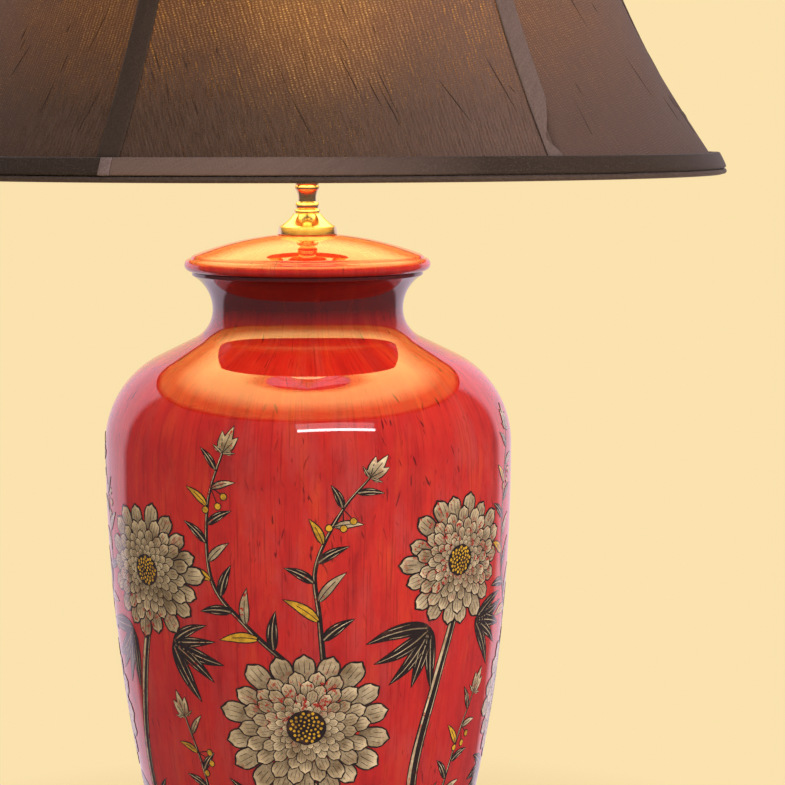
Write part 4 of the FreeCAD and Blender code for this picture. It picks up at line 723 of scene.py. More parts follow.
def bloomTree():
    # Sets one petal out in rings, each ring smaller, half a petal on and a little higher.
    tree = Shape("petalRings", ["Petals", "Rings", "Seed"], [
        "Sweep", "Turn", "Shrink", "Squash", "Across", "Up", "Ring Step", "Turn Spread", "Size Spread"])
    given, petals, seed = tree.given, tree.given["Petals"], tree.given["Seed"]
    line = tree.add("GeometryNodeMeshLine", {"Count": petals * given["Rings"], "Offset": (0, 0, 0)})
    ring = ((tree.index + 0.5) / petals).maths("FLOOR")
    share = (tree.index - ring * petals + ring.maths("MODULO", 2.0) * 0.5) / petals
    angle = tree.chance(-1.0, 1.0, seed) * given["Turn Spread"] + (share * given["Sweep"] + given["Turn"])
    uneven = tree.chance(-1.0, 1.0, seed + 7.0) * given["Size Spread"] + 1.0
    size = given["Shrink"].maths("POWER", ring) * uneven
    lifted = tree.moved(line, tree.xyz(y=ring * given["Ring Step"]))
    real = tree.setOut(lifted, given["Geometry"], tree.xyz(y=angle), tree.xyz(size, 1.0, size))
    squashed = tree.place.vector("MULTIPLY", tree.xyz(1.0, 1.0, given["Squash"]))
    centre = tree.xyz(given["Across"], 0.0, given["Up"])
    return wrapped(tree, tree.moved(real, squashed.vector("ADD", centre)))


def plate(rows, lift):
    # A closed thin plate over rows of flat points, its map running from its root to its tip.
    wide, tall = len(rows[0]), len(rows)
    points, maps = [], []
    for drop in (0.0, paint["skin"]):
        for step, line in enumerate(rows):
            for place, (across, up) in enumerate(line):
                points.append((across, lift - drop, up))
                maps.append((1000 * place / (wide - 1), 1000 * step / (tall - 1)))
    under = wide * tall
    faces = []
    for step in range(tall - 1):
        for place in range(wide - 1):
            a = step * wide + place
            faces.append((a, a + wide, a + wide + 1, a + 1))
            faces.append((a + under, a + under + 1, a + under + wide + 1, a + under + wide))
    rim = [*range(wide), *(step * wide + wide - 1 for step in range(1, tall)),
           *((tall - 1) * wide + place for place in range(wide - 2, -1, -1)),
           *(step * wide for step in range(tall - 2, 0, -1))]
    faces += [(a, b, b + under, a + under) for a, b in zip(rim, rim[1:] + rim[:1])]
    return points, faces, maps


def plates(name, parts):
    points, faces, maps = [], [], []
    for somePoints, someFaces, someMaps in parts:
        faces += [tuple(corner + len(points) for corner in face) for face in someFaces]
        points += somePoints
        maps += someMaps
    return meshObject(name, points, faces, maps)


def smoothLine(points, cell, parts=12):
    # A smooth line through the points, cut into even short steps.
    fine = []
    ends = [2 * points[0] - points[1]] + points + [2 * points[-1] - points[-2]]
    for a, b, c, d in zip(ends, ends[1:], ends[2:], ends[3:]):
        for part in range(parts):
            t = part / parts
            fine.append(0.5 * (2 * b + (c - a) * t + (2 * a - 5 * b + 4 * c - d) * t * t
                               + (3 * b - a - 3 * c + d) * t ** 3))
    fine.append(points[-1].copy())
    lengths = [0.0]
    for a, b in zip(fine, fine[1:]):
        lengths.append(lengths[-1] + (b - a).length)
    count = max(2, round(lengths[-1] / cell))
    line, place = [], 0
    for step in range(count + 1):
        want = lengths[-1] * step / count
        while place < len(fine) - 2 and lengths[place + 1] < want:
            place += 1
        span = max(1e-9, lengths[place + 1] - lengths[place])
        line.append(fine[place].lerp(fine[place + 1], (want - lengths[place]) / span))
    return line


def stroke(points, widthAt, lift, columns=2, aside=lambda t: 0.0):
    # A brush stroke along a line, shifted aside to its right.
    line = smoothLine([Vector(point) for point in points], paint["cell"])
    last = len(line) - 1
    rows = []
    for step, point in enumerate(line):
        ahead = line[min(step + 1, last)] - line[max(step - 1, 0)]
        side = Vector((ahead.y, -ahead.x)).normalized()
        half, shift = max(paint["thinnest"], widthAt(step / last)) / 2, aside(step / last)
        rows.append([tuple(point + side * (half * (2 * place / columns - 1) + shift))
                     for place in range(columns + 1)])
    return plate(rows, lift)


def petalPlate(radius, inset, lift):
    # Straight sides up to the belly of the petal, then a round end with a slight dip.
    root, belly = 1 - bloom["reach"], 0.45
    rows = []
    for t in (0.0, 0.3, 0.52, 0.7, 0.84, 0.94, 0.99):
        along = root + bloom["reach"] * t
        wide = along * math.tan(math.pi / bloom["petals"]) * 0.97
        if t > belly:
            wide *= math.sqrt(1 - ((t - belly) / (1 - belly)) ** 2)
        half = max(0.15, wide * radius - inset)
        up = along * radius - inset * (t > 0.9) - 0.02 * radius
        rows.append([(half * u, up + 0.03 * radius * t * (1 - u * u)) for u in (-1, -0.5, 0, 0.5, 1)])
    return plate(rows, lift)


def veinPlates(radius, lift):
    parts = []
    for u, start, end in ((0.0, 0.3, 0.8), (0.42, 0.42, 0.7), (-0.42, 0.42, 0.7)):
        rows = []
        for t in (start, (start + end) / 2, end):
            along = 1 - bloom["reach"] * (1 - t)
            middle = radius * along * math.tan(math.pi / bloom["petals"]) * u
            half = bloom["veinWidth"] / 2 * (1.2 - t)
            rows.append([(middle - half, radius * along), (middle + half, radius * along)])
        parts.append(plate(rows, lift))
    return parts


def pipPlates(radius, lift):
    # The heart's stamens, set out like seeds.
    parts = []
    for number in range(bloom["pips"]):
        away = radius * bloom["heart"] * math.sqrt((number + 0.5) / bloom["pips"])
        angle = number * math.radians(bloom["pipTurn"])
        dot = bloom["pipSize"] * (0.8 + 0.4 * number / bloom["pips"])
        rows = [[(away * math.cos(angle) + dot * x, away * math.sin(angle) + dot * y) for x in (-wide, wide)]
                for y, wide in ((-0.95, 0.5), (0.0, 1.0), (0.95, 0.5))]
        parts.append(plate(rows, lift))
    return parts


def diskPlate(radius, lift, rings=6):
    rows = []
    for step in range(2 * rings + 1):
        v = -1 + step / rings
        half = max(0.08, math.sqrt(max(0.0, 1 - v * v)))
        rows.append([(radius * half * u, radius * v) for u in (-1, -0.6, -0.2, 0.2, 0.6, 1)])
    return plate(rows, lift)


def joined(name, objects):
    # One mesh from several, with their maps kept.
    work = bmesh.new()
    for obj in objects:
        work.from_mesh(obj.data)
        bpy.data.objects.remove(obj)
    bmesh.ops.recalc_face_normals(work, faces=work.faces)
    mesh = bpy.data.meshes.new(name)
    work.to_mesh(mesh)
    work.free()
    mesh.shade_smooth()
    mesh.set_sharp_from_angle(angle=math.radians(sharpAngle))
    return linked(name, mesh)


def makeBlooms():
    tree, lift, fine = bloomTree(), paint["bloomLift"], paint["fine"]
    layers = {"ink": [], "leaf": [], "amber": []}
    for number, (across, up, radius, squash, start) in enumerate(blooms):
        given = {"Petals": bloom["petals"], "Rings": bloom["rings"], "Seed": number, "Sweep": turn,
                 "Turn": math.radians(start), "Shrink": bloom["shrink"], "Squash": squash,
                 "Across": across * mm, "Up": up * mm, "Ring Step": bloom["ringStep"] * mm,
                 "Turn Spread": bloom["turnSpread"], "Size Spread": bloom["sizeSpread"]}
        single = {**given, "Petals": 1, "Rings": 1, "Turn Spread": 0.0, "Size Spread": 0.0}
        top = lift + bloom["rings"] * bloom["ringStep"] + fine
        for finish, words, values, parts in (
                ("ink", "petal", given, [petalPlate(radius, 0.0, lift)]),
                ("leaf", "petal", given, [petalPlate(radius, paint["line"], lift + fine)]),
                ("ink", "petal", given, veinPlates(radius, lift + 2 * fine)),
                ("ink", "heart", single, [diskPlate(radius * (bloom["heart"] + bloom["heartRim"]), top)]),
                ("amber", "heart", single, pipPlates(radius, top + fine))):
            layers[finish].append(grown(plates(f"{words}{number}", parts), tree, finish, values))
    return layers


def headed(heading):
    # The way a leaf points, from upright round to the right, and the way across it.
    angle = math.radians(heading)
    return Vector((math.sin(angle), math.cos(angle))), Vector((math.cos(angle), -math.sin(angle)))


def blade(layers, root, heading, length, width, lift, face, bend=0.0):
    # A pointed leaf: its dark shape, a face inside it, and a rib.
    way, side = headed(heading)
    line = [root + way * length * t + side * length * bend * t * (1 - t) * 2 for t in (0.0, 0.33, 0.66, 1.0)]
    fine, edge = paint["fine"], paint["edge"]

    def across(t):
        return width * math.sin(math.pi * min(1.0, t ** 0.72)) ** 0.85

    layers["ink"].append(stroke(line, across, lift, 4))
    inner = [line[0].lerp(line[1], 0.2), line[1], line[2], line[2].lerp(line[3], 0.86)]
    if face == "ink":
        # A dark leaf has a light rib and a light stroke along each edge.
        layers["leaf"].append(stroke(inner, lambda t: 0.8 * (1 - t) + 0.14, lift + fine, 1))
        for hand in (-1.0, 1.0):
            foot, head = (point + side * hand * across(t) * 0.34 for point, t in zip(line[1:3], (0.33, 0.66)))
            middle = foot.lerp(head, 0.5) + side * hand * 0.2
            layers["leaf"].append(stroke([foot, middle, head],
                                         lambda t: 0.4 * math.sin(math.pi * (0.1 + 0.8 * t)), lift + fine, 1))
    else:
        layers[face].append(stroke(inner, lambda t: across(0.07 + 0.86 * t) - 2 * edge, lift + fine, 3))
        layers["ink"].append(stroke(inner[:3], lambda t: 0.45, lift + 2 * fine, 1))


def berry(layers, spot, radius, lift):
    for finish, size, rise in (("ink", radius, 0.0), ("amber", radius - 0.5, paint["fine"])):
        rows = [[(spot.x + size * half * u, spot.y + size * v) for u in (-1, 0, 1)]
                for v, half in ((-1, 0.12), (-0.7, 0.71), (0, 1), (0.7, 0.71), (1, 0.12))]
        layers[finish].append(plate(rows, lift + rise))


def leafBunch(rng, layers, spot, aim, count, length):
    for number in range(count):
        spread = (number - (count - 1) / 2) * leaves["spread"]
        heading = aim + spread + rng.uniform(-leaves["sway"], leaves["sway"])
        long = length * rng.uniform(*leaves["long"])
        blade(layers, spot, heading, long, long * rng.uniform(*leaves["width"]),
              paint["leafLift"] + 0.02 * number, "ink", rng.uniform(-leaves["bend"], leaves["bend"]))


def stem(rng, layers, number, across, up, radius):
    # A long bending stem from the foot, dark, with a pale light down one side.
    side, high = (1 if number % 2 else -1), up > highBloom
    size, lift, fine = stems, paint["stemLift"], paint["stemLift"] + paint["fine"]
    swing = size["swing"] * side
    start = Vector((across + swing * (0.9 if high else 0.4), heightOf("jar", 0) + jar["footHeight"] + 3))
    end = Vector((across, up - radius * 0.6))
    height = end.y - start.y
    line = [start, start + Vector((-swing * 0.25, height * 0.25)),
            start + Vector((-swing * 0.15, height * 0.5)), end + Vector((swing * 0.42, -height * 0.24)), end]

    def lightWidth(t):
        return (size["light"] - size["lightTaper"] * t) * (0.75 + 0.25 * math.sin(17 * t))

    layers["ink"].append(stroke(line, lambda t: size["width"] - size["taper"] * t, lift, 3))
    layers["leaf"].append(stroke(line, lightWidth, fine, 1, lambda t: 1.4 * t - size["light"]))
    layers["leaf"].append(stroke(line, lambda t: size["thread"], fine, 1, lambda t: 3.8 - 1.8 * t))
    for aim, long, drop in ((side * 118, 40, 0.9), (-side * 128, 36, 0.95)):
        root = Vector((across + math.sin(math.radians(aim)) * radius * 0.55, up - radius * drop))
        leafBunch(rng, layers, root, aim + side * size["leafTurn"], size["leaves"], long)
    if high:
        leafBunch(rng, layers, line[1] + Vector((0, size["lowRise"])), -side * size["lowTurn"],
                  size["lowLeaves"], size["lowLong"])


def spray(rng, layers, corners):
    # A thin branch with leaves on both sides, berries below its tip and a closed bud at its end.
    size, lift, fine, leafLift = twigs, paint["sprayLift"], paint["fine"], paint["leafLift"]
    root, bend, tip = (Vector(corner) for corner in corners)
    line = [root, root.lerp(bend, 0.55) + Vector((0, -4)), bend,
            bend.lerp(tip, 0.5) + (bend - root) * 0.12, tip]
    layers["ink"].append(stroke(line, lambda t: size["width"] - size["taper"] * t, lift, 2))
    layers["leaf"].append(stroke(line, lambda t: size["light"] - size["lightTaper"] * t, lift + fine, 1,
                                 lambda t: size["lightTaper"] * t - size["light"]))
    steps = smoothLine(line, size["step"])
    count = len(steps) - 1
    for number in range(1, count):
        ahead = steps[number + 1] - steps[number - 1]
        heading = math.degrees(math.atan2(ahead.x, ahead.y))
        side = 1 if number % 2 else -1
        long = size["long"] - size["longTaper"] * number / count
        face = ("ink", "ink", "amber", "leaf")[number % 4]
        blade(layers, steps[number], heading + side * rng.uniform(*size["lean"]),
              long * rng.uniform(0.9, 1.1), long * size["leafWidth"], leafLift + 0.01 * number, face,
              -side * size["bend"])
    ahead = steps[-1] - steps[-3]
    heading = math.degrees(math.atan2(ahead.x, ahead.y))
    for turned, long in ((-24, 13), (24, 13), (0, 17)):
        blade(layers, tip, heading + turned, long, size["budWidth"], leafLift + 0.14 + 0.002 * long, "leaf")
    for turned in (-70, 70):
        blade(layers, tip, heading + turned, 8, size["huskWidth"], leafLift + 0.2, "ink")
    for number in range(size["berries"]):
        spot = steps[-3] + headed(heading + 100 + size["berryTurn"] * number)[0] * (9 + 2 * number)
        twig = [steps[-3], steps[-3].lerp(spot, 0.5) + Vector((0, 0.8)), spot]
        layers["ink"].append(stroke(twig, lambda t: 0.6, lift, 1))
        berry(layers, spot, size["berry"], leafLift + 0.1)


def makeStrokes():
    rng = random.Random(paint["seed"])
    layers = {"ink": [], "leaf": [], "amber": []}
    for number, (across, up, radius, squash, start) in enumerate(blooms):
        stem(rng, layers, number, across, up, radius)
    for corners in sprays:
        spray(rng, layers, corners)
    tree = strokeTree()
    return {finish: grown(plates(finish + "Strokes", parts), tree, finish)
            for finish, parts in layers.items()}


def paintJar():
    blossoms, strokes = makeBlooms(), makeStrokes()
    for finish, name, parts in (
            ("ink", "inkBlossoms", blossoms["ink"]), ("ink", "inkStems", [strokes["ink"]]),
            ("leaf", "leafDrawing", blossoms["leaf"] + [strokes["leaf"]]),
            ("amber", "yellowDrawing", blossoms["amber"] + [strokes["amber"]])):
        drawing = joined(name, parts)
        placed(drawing, "lamp", finish)
        print(name, len(drawing.data.polygons), "faces")


paintJar()


# Bell shade

shade = dict(width=507.8, topRadius=127.0, height=337.0, flare=33.4, flatness=0.5, ribs=6, firstRib=-115.5,
             firstRibShift=3.2, silkThickness=0.5, liningDepth=4.7, liningThickness=0.5, liningMargin=4.5,
             rollRadius=1.5, gap=0.3, goreColumns=36, goreRows=60, liningColumns=16, liningRows=50)
silkFoot = heightOf("silk_1", 0)
silkTop = silkFoot + shade["height"]
flare = math.radians(shade["flare"])
silkFootRadius = (shade["width"] / 2 - 2 * shade["rollRadius"] - shade["gap"]
                  + shade["rollRadius"] * math.tan(flare))
shrink = silkFootRadius - shade["topRadius"]
bellCurve = ((shrink ** 2 + shade["height"] ** 2) / 2
             / (shade["height"] * math.sin(flare) - shrink * math.cos(flare)))
bellCentre = Vector((silkFootRadius + bellCurve * math.cos(flare), silkFoot + bellCurve * math.sin(flare)))


def bellRadius(height, depth=0.0):
    return bellCentre.x - reach(bellCurve + depth, bellCentre.y - height)


def bellLength(low, high, depth=0.0):
    # The bell's arc between two heights.
    foot, head = (math.asin((bellCentre.y - height) / (bellCurve + depth)) for height in (low, high))
    return bellCurve * (foot - head)


def ribHeading(index):
    # Even, but for the first rib, which stands a little nearer to the second.
    shift = 0 if index % shade["ribs"] else shade["firstRibShift"]
    return math.radians(shade["firstRib"] + shift) + turn * index / shade["ribs"]


def halfGore(index):
    return (ribHeading(index + 1) - ribHeading(index)) / 2


def gorePoint(index, across, height, depth=0.0):
    # Across runs from -1 at one rib to 1 at the next. The skin is round at both rings and
    # nearly straight from rib to rib halfway up.
    radius = bellRadius(height, depth)
    share = min(1.0, max(0.0, (height - silkFoot) / shade["height"]))
    tautness = shade["flatness"] * (4 * share * (1 - share)) ** 2
    half = halfGore(index)
    middle = radius * (1 - (1 - math.cos(half)) * tautness)
    side = Vector((radius * math.cos(half), radius * math.sin(half)))
    centre = (middle ** 2 - side.length_squared) / (2 * (middle - side.x))
    angle = math.atan2(side.y, side.x - centre) * across
    heading = ribHeading(index) + half
    spot = Vector((centre + (middle - centre) * math.cos(angle), (middle - centre) * math.sin(angle)))
    return Vector((spot.x * math.cos(heading) - spot.y * math.sin(heading),
                   spot.x * math.sin(heading) + spot.y * math.cos(heading), height))


def clothGrid(name, columns, rows, spotAt, ring=False):
    # A sheet of cloth as a grid, its map laid out in real size from the middle of its first row.
    points = [[spotAt(column / columns, row / rows) for column in range(columns + 1)]
              for row in range(rows + 1)]
    flat, maps, up, middle = [], [], 0.0, columns // 2
    for row, line in enumerate(points):
        if row:
            up += (line[middle] - points[row - 1][middle]).length
        steps = [0.0] + [(b - a).length for a, b in zip(line, line[1:])]
        along = -sum(steps) / 2
        for step, point in zip(steps, line):
            along += step
            flat.append(point)
            maps.append((along, up))
    wide = columns + 1
    corners = (0, 1, wide + 1, wide)
    faces = [tuple(row * wide + column + corner for corner in corners)
             for row in range(rows) for column in range(columns)]
    obj = meshObject(name, flat, faces, maps)
    if ring:
        work = bmesh.new()
        work.from_mesh(obj.data)
        bmesh.ops.remove_doubles(work, verts=work.verts, dist=weldDistance)
        work.to_mesh(obj.data)
        work.free()
    return obj


def sewn(obj, thickness, finish, replaced=()):
    # Gives a sheet its thickness and its place on the shade. What comes back is its area.
    area = sum(face.area for face in obj.data.polygons)
    wall = obj.modifiers.new("thickness", "SOLIDIFY")
    wall.thickness = thickness * mm
    wall.offset = -1.0
    placed(obj, "shade", finish, replaced)
    return area


def skinSpot(heading, radius, height):
    return Vector((radius * math.cos(heading), radius * math.sin(heading), height))


def alongProfile(points, share):
    along = share * (len(points) - 1)
    index = min(int(along), len(points) - 2)
    return (a + (b - a) * (along - index) for a, b in zip(points[index], points[index + 1]))


def makeGore(index):
    skin = clothGrid(f"gore{index + 1}", shade["goreColumns"], shade["goreRows"],
                     lambda across, up: gorePoint(index, 2 * across - 1, silkFoot + shade["height"] * up))
    width, length = 2 * halfGore(index) * silkFootRadius, bellLength(silkFoot, silkTop)
    # the second gore takes the darker copy of the silk, as painted shade
    finish = "silkPaintedShade" if index == 1 else "silk"
    area = sewn(skin, shade["silkThickness"], finish, [f"silk_{index + 1}"])
    width * mm
    length * mm


def makeLiningCloth():
    # One shell of six gores, hung from the rings inside the frame.
    depth, count = shade["liningDepth"], shade["ribs"]
    low, high = silkFoot + shade["liningMargin"], silkTop - shade["liningMargin"]

    def spot(across, up):
        place = across * count % count
        index = min(int(place), count - 1)
        return gorePoint(index, 2 * (place - index) - 1, low + (high - low) * up, depth)

    cloth = clothGrid("liningCloth", count * shade["liningColumns"], shade["liningRows"], spot, ring=True)
    around, length = turn * bellRadius(low, depth), bellLength(low, high, depth)
    area = sewn(cloth, shade["liningThickness"], "lining", ["lining"])
    cloth.modifiers["thickness"].material_offset = 1
    cloth.data.materials.append(finishes["litLining"])
    around * mm
    length * mm
    cloth.visible_shadow = False  # the bulb's light reaches the silk through it


# Tapes over the ribs. One is pinched where its edge folds under above the trim.

tape = dict(width=12.2, thickness=0.6, crown=0.3, gap=0.15, tuck=1.4, ripple=0.05, columns=12, rows=110,
            pinchedRib=1, pinchFoot=13.0, pinchHeight=9.0, pinchReach=21.0, pinchWidth=0.14, pinchFlare=0.7)


def tapeSpot(index, aside, height, lift):
    gore = index if aside >= 0 else (index - 1) % shade["ribs"]
    share = abs(aside) / (bellRadius(height) * math.sin(halfGore(gore)))
    return gorePoint(gore, share - 1 if aside >= 0 else 1 - share, height, -lift)


def pinched(above):
    # The share of its width that the pinched tape keeps, above and below the pinch.
    if above > 0:
        return tape["pinchWidth"] + (1 - tape["pinchWidth"]) * min(1.0, above / tape["pinchReach"]) ** 0.7
    return tape["pinchWidth"] + tape["pinchFlare"] * min(1.0, -above / tape["pinchHeight"])


def makeTape(index):
    size, name = tape, f"tape_{index + 1}"
    low, high = heightOf(name, 0) - size["tuck"], heightOf(name, 1) + size["tuck"]

    def spot(across, up):
        height = low + (high - low) * up
        aside = (across - 0.5) * size["width"]
        if index == size["pinchedRib"]:
            held = pinched(height - silkFoot - size["pinchFoot"] - size["pinchHeight"])
            aside = held * (aside + size["width"] / 2) - size["width"] / 2
        crown = size["crown"] * (1 - (2 * across - 1) ** 4)
        ripple = size["ripple"] * math.sin(height * 0.9 + index * 2.1) * math.sin(across * math.pi)
        return tapeSpot(index, aside, height, size["gap"] + size["thickness"] + crown + ripple)

    strip = clothGrid(f"tape{index + 1}", size["columns"], size["rows"], spot)
    # the tapes on the left side take the darker copy, as painted shade
    area = sewn(strip, size["thickness"], "tape" if 0 < index < 4 else "tapePaintedShade", [name])


# Trim round the foot of the shade: a folded band, its lapped join and a rolled edge under it.
# A profile is a list of radius and height.

trim = dict(thickness=0.55, columns=540, radius=253.5, inset=0.1, joinHeading=bandJoinAndSheen["join"], joinWidth=1.5,
            joinLift=0.5, joinThickness=0.4, sway=0.28, pucker=0.07,
            profile=[(249.4, 1.2), (251.3, 0.15), (252.9, 0.0), (253.5, 0.55), (253.45, 1.5), (252.9, 2.9),
                     (252.1, 4.6), (251.25, 6.3), (250.5, 7.7), (250.05, 8.6), (249.5, 9.1), (248.6, 9.2),
                     (246.8, 9.0), (244.3, 8.8)])
roll = dict(radius=252.4, thick=1.5, cloth=0.35, around=12, columns=540, twist=0.07, twists=260,
            sharpness=80.0)
top = dict(thickness=0.5, columns=300, rows=30, lift=1.3, pucker=0.07)
bandFoot = heightOf("trim_band", 0)


def sway(heading, height, size):
    # The hand-sewn edge isn't quite level.
    place = Vector((math.cos(heading), math.sin(heading), 0)) * 4.0
    return size * noise.noise(place + Vector((0, 0, height * 0.02))) + 0.35 * size * noise.noise(place * 4.7)


def pucker(heading, height, waves):
    return noise.noise(Vector((math.cos(heading), math.sin(heading), height * 0.004)) * waves)


def trimSpot(heading, share, lift):
    radius, height = alongProfile(trim["profile"], share)
    puckered = trim["pucker"] * pucker(heading, height, 42.0) * math.sin(math.pi * share)
    return skinSpot(heading, radius + puckered + lift - trim["inset"],
                    bandFoot + height + sway(heading, height, trim["sway"]))


def makeTrim():
    rows = 3 * (len(trim["profile"]) - 1)
    band = clothGrid("trimBand", trim["columns"], rows,
                     lambda across, up: trimSpot(turn * across, up, 0.0), ring=True)
    area = sewn(band, trim["thickness"], "band", ["trim_band"])
    start, sweep = math.radians(trim["joinHeading"]), math.radians(trim["joinWidth"])

    def lapped(across, up):
        # The end of the band, turned under and lapped over its beginning.
        edge = min(1.0, 4 * min(across, 1 - across) + 0.25)
        return trimSpot(start - sweep * (1 - across), 0.12 + 0.74 * up, trim["joinLift"] * edge + 0.15)

    flap = clothGrid("trimJoin", 10, 30, lapped)
    sewn(flap, trim["joinThickness"], "join")


def makeRoll():
    size, centre = roll, heightOf("rolled_edge", 0) + roll["thick"]

    def spot(across, up):
        heading, angle = turn * across, -turn * up
        thick = size["thick"] - size["twist"] * (0.5 + 0.5 * math.sin(heading * size["twists"] + angle))
        return skinSpot(heading, size["radius"] + thick * math.cos(angle),
                        centre + thick * math.sin(angle) + sway(heading, 0, trim["sway"]))

    edge = clothGrid("rolledEdge", size["columns"], size["around"], spot, ring=True)
    outwardFaces(edge.data, size["sharpness"])
    area = sewn(edge, size["cloth"], "roll", ["rolled_edge"])


def makeTopBand():
    low, high = heightOf("top_band", 0), heightOf("top_band", 1)
    skin, lift = bellRadius(high - 1.5), top["lift"]
    profile = [(bellRadius(low + 0.2) + 0.7, low + 0.1), (bellRadius(low) + 1.25, low + 0.5),
               (bellRadius(low + 3) + lift, low + 3), (bellRadius(low + 6) + lift, low + 6),
               (skin + lift, high - 1.5), (skin + 1.1, high - 0.5), (skin + 0.4, high), (skin - 1.2, high),
               (skin - 3.0, high - 0.1), (skin - 4.6, high - 0.6), (skin - 5.2, high - 1.6)]

    def spot(across, up):
        heading = turn * across
        radius, height = alongProfile(profile, up)
        return skinSpot(heading, radius + top["pucker"] * pucker(heading, height, 30.0), height)

    band = clothGrid("topBand", top["columns"], top["rows"], spot, ring=True)
    area = sewn(band, top["thickness"], "band", ["top_band"])


# Slubs: dark thick places in the thread, lying on the cloth and leaning with its grain

slubs = dict(perSquareMetre=[2100.0, 650.0, 1000.0, 1000.0, 1000.0, 1200.0], length=26.0, thick=0.24,
             leans=[0.38, 0.12, -0.2, 0.3, 0.1, -0.06], leanSpread=0.14, lift=0.05, seed=4,
             columns=20, rows=32, width=0.9, low=0.07, span=0.88)


def slubTree():
    tree = Shape("slubThreads", ["Seed"], ["Density", "Length", "Thick", "Lean Low", "Lean High", "Lift"])
    given, place, cloth, seed = tree.given, tree.place, tree.given["Geometry"], tree.given["Seed"]
    clumps = place.noise(13.0, 2.0).ramp(0.42, 0.62, 0.15, 1.6)
    points, normal = tree.add("GeometryNodeDistributePointsOnFaces", {
        "Mesh": cloth, "Density": given["Density"] * clumps, "Seed": seed}, ("Points", "Normal"))
    thread = tree.add("GeometryNodeMeshCylinder", {
        "Vertices": 6, "Side Segments": 10, "Radius": given["Thick"], "Depth": given["Length"]})
    across, depth, up = place.parts()
    along = up * 2.0 / given["Length"]
    slim = (1.0 - along * along).maths("MAXIMUM", 0.06)
    slimmed = tree.moved(thread, tree.xyz(across * slim, depth * slim, up))
    noted = tree.add("GeometryNodeStoreNamedAttribute", {
        "Geometry": slimmed, "Name": "rise", "Value": across})
    sideways = tree.add("ShaderNodeVectorMath", {0: (0, 0, 1), 1: normal}, operation="CROSS_PRODUCT")
    lean = tree.chance(given["Lean Low"], given["Lean High"], seed)
    stretch = tree.chance(0.0, 1.0, seed + 3.0).maths("POWER", 2.2) * 1.7 + 0.22
    bulk = tree.chance(0.0, 1.0, seed + 5.0) * 0.65 + 0.35
    way = sideways.scaled(lean).vector("ADD", (0, 0, -1))
    faced = tree.add("FunctionNodeAlignRotationToVector", {"Vector": normal}, axis="X")
    aimed = tree.add("FunctionNodeAlignRotationToVector", {"Rotation": faced, "Vector": way},
                     axis="Z", pivot_axis="X")
    real = tree.setOut(points, noted, aimed, tree.xyz(bulk, bulk, stretch))
    rise = tree.add("GeometryNodeInputNamedAttribute", {"Name": "rise"}, "Attribute")
    spot, outward = (
        tree.add("GeometryNodeSampleNearestSurface", {"Mesh": cloth, "Value": value}, "Value",
                 data_type="FLOAT_VECTOR")
        for value in (place, tree.add("GeometryNodeInputNormal")))
    return tree.end(tree.moved(real, spot.vector("ADD", outward.scaled(rise + given["Lift"]))))


def makeSlubs():
    # Each gore, short of its tapes and trims, gets threads that lean its own way.
    size, tree, made = slubs, slubTree(), []
    for index, lean in enumerate(size["leans"]):
        patch = clothGrid(f"slubs{index + 1}", size["columns"], size["rows"], lambda across, up: gorePoint(
            index, (2 * across - 1) * size["width"],
            silkFoot + shade["height"] * (size["low"] + size["span"] * up)))
        made.append(grown(patch, tree, "slub", {
            "Density": size["perSquareMetre"][index], "Length": size["length"] * mm,
            "Thick": size["thick"] * mm, "Lift": size["lift"] * mm, "Lean Low": lean - size["leanSpread"],
            "Lean High": lean + size["leanSpread"], "Seed": size["seed"] + index}))
    threads = joined("slubThreads", made)
    placed(threads, "shade", "slub")
    print("slub threads", len(threads.data.polygons), "faces")


for goreIndex in range(shade["ribs"]):
    makeGore(goreIndex)
makeLiningCloth()
for ribIndex in range(shade["ribs"]):
    makeTape(ribIndex)
makeTrim()
makeRoll()
makeTopBand()
makeSlubs()
print("shade covered and trimmed")


# Fittings, which keep the model's own shapes

fittings = {
    "turnedBrass": ["finial_foot", "finial_ball"],
    "harpBrass": ["harp", "harp_saddle", "shade_swivel", "sleeve_left", "sleeve_right"],
    "socketBrass": ["socket_cap", "socket_shell", "screw_shell", "centre_contact"],
    "steel": ["lamp_pipe", "bottom_washer", "bottom_nut", "saddle_nut", "terminal_screws", "switch_shaft"],
    "board": ["insulating_sleeve"],
    "core": ["socket_core"],
    "knob": ["switch_knob"],
    "bushing": ["cord_bushing"],
    "wood": ["stand"],
    "aluminium": ["bulb_cap"],
    "tip": ["bulb_tip"],
    "bulb": ["bulb_glass"],
    "wire": ["bottom_ring", "top_ring", "spider", *(f"rib_{index + 1}" for index in range(shade["ribs"]))],
}
for fittingFinish, fittingNames in fittings.items():
    for fittingName in fittingNames:
        for materialSlot in nodes[fittingName].material_slots:
            materialSlot.material = finishes[fittingFinish]
print("fittings finished")


# Camera and lights

view = dict(focalPixels=2195.84, frameSide=785, sensor=36.0, across=52.0, back=1350.0, height=517.6,
            pitch=6.8, roll=-0.12)
backdrop = dict(colour=rgb(251, 226, 174), mirrored=rgb(222, 204, 222), glow=(1.0, 0.95, 0.9, 1), light=0.38,
                front=0.2, beside=1.35, rightShare=1.67, floorReach=30.0, floorFade=(0.1, 0.45))
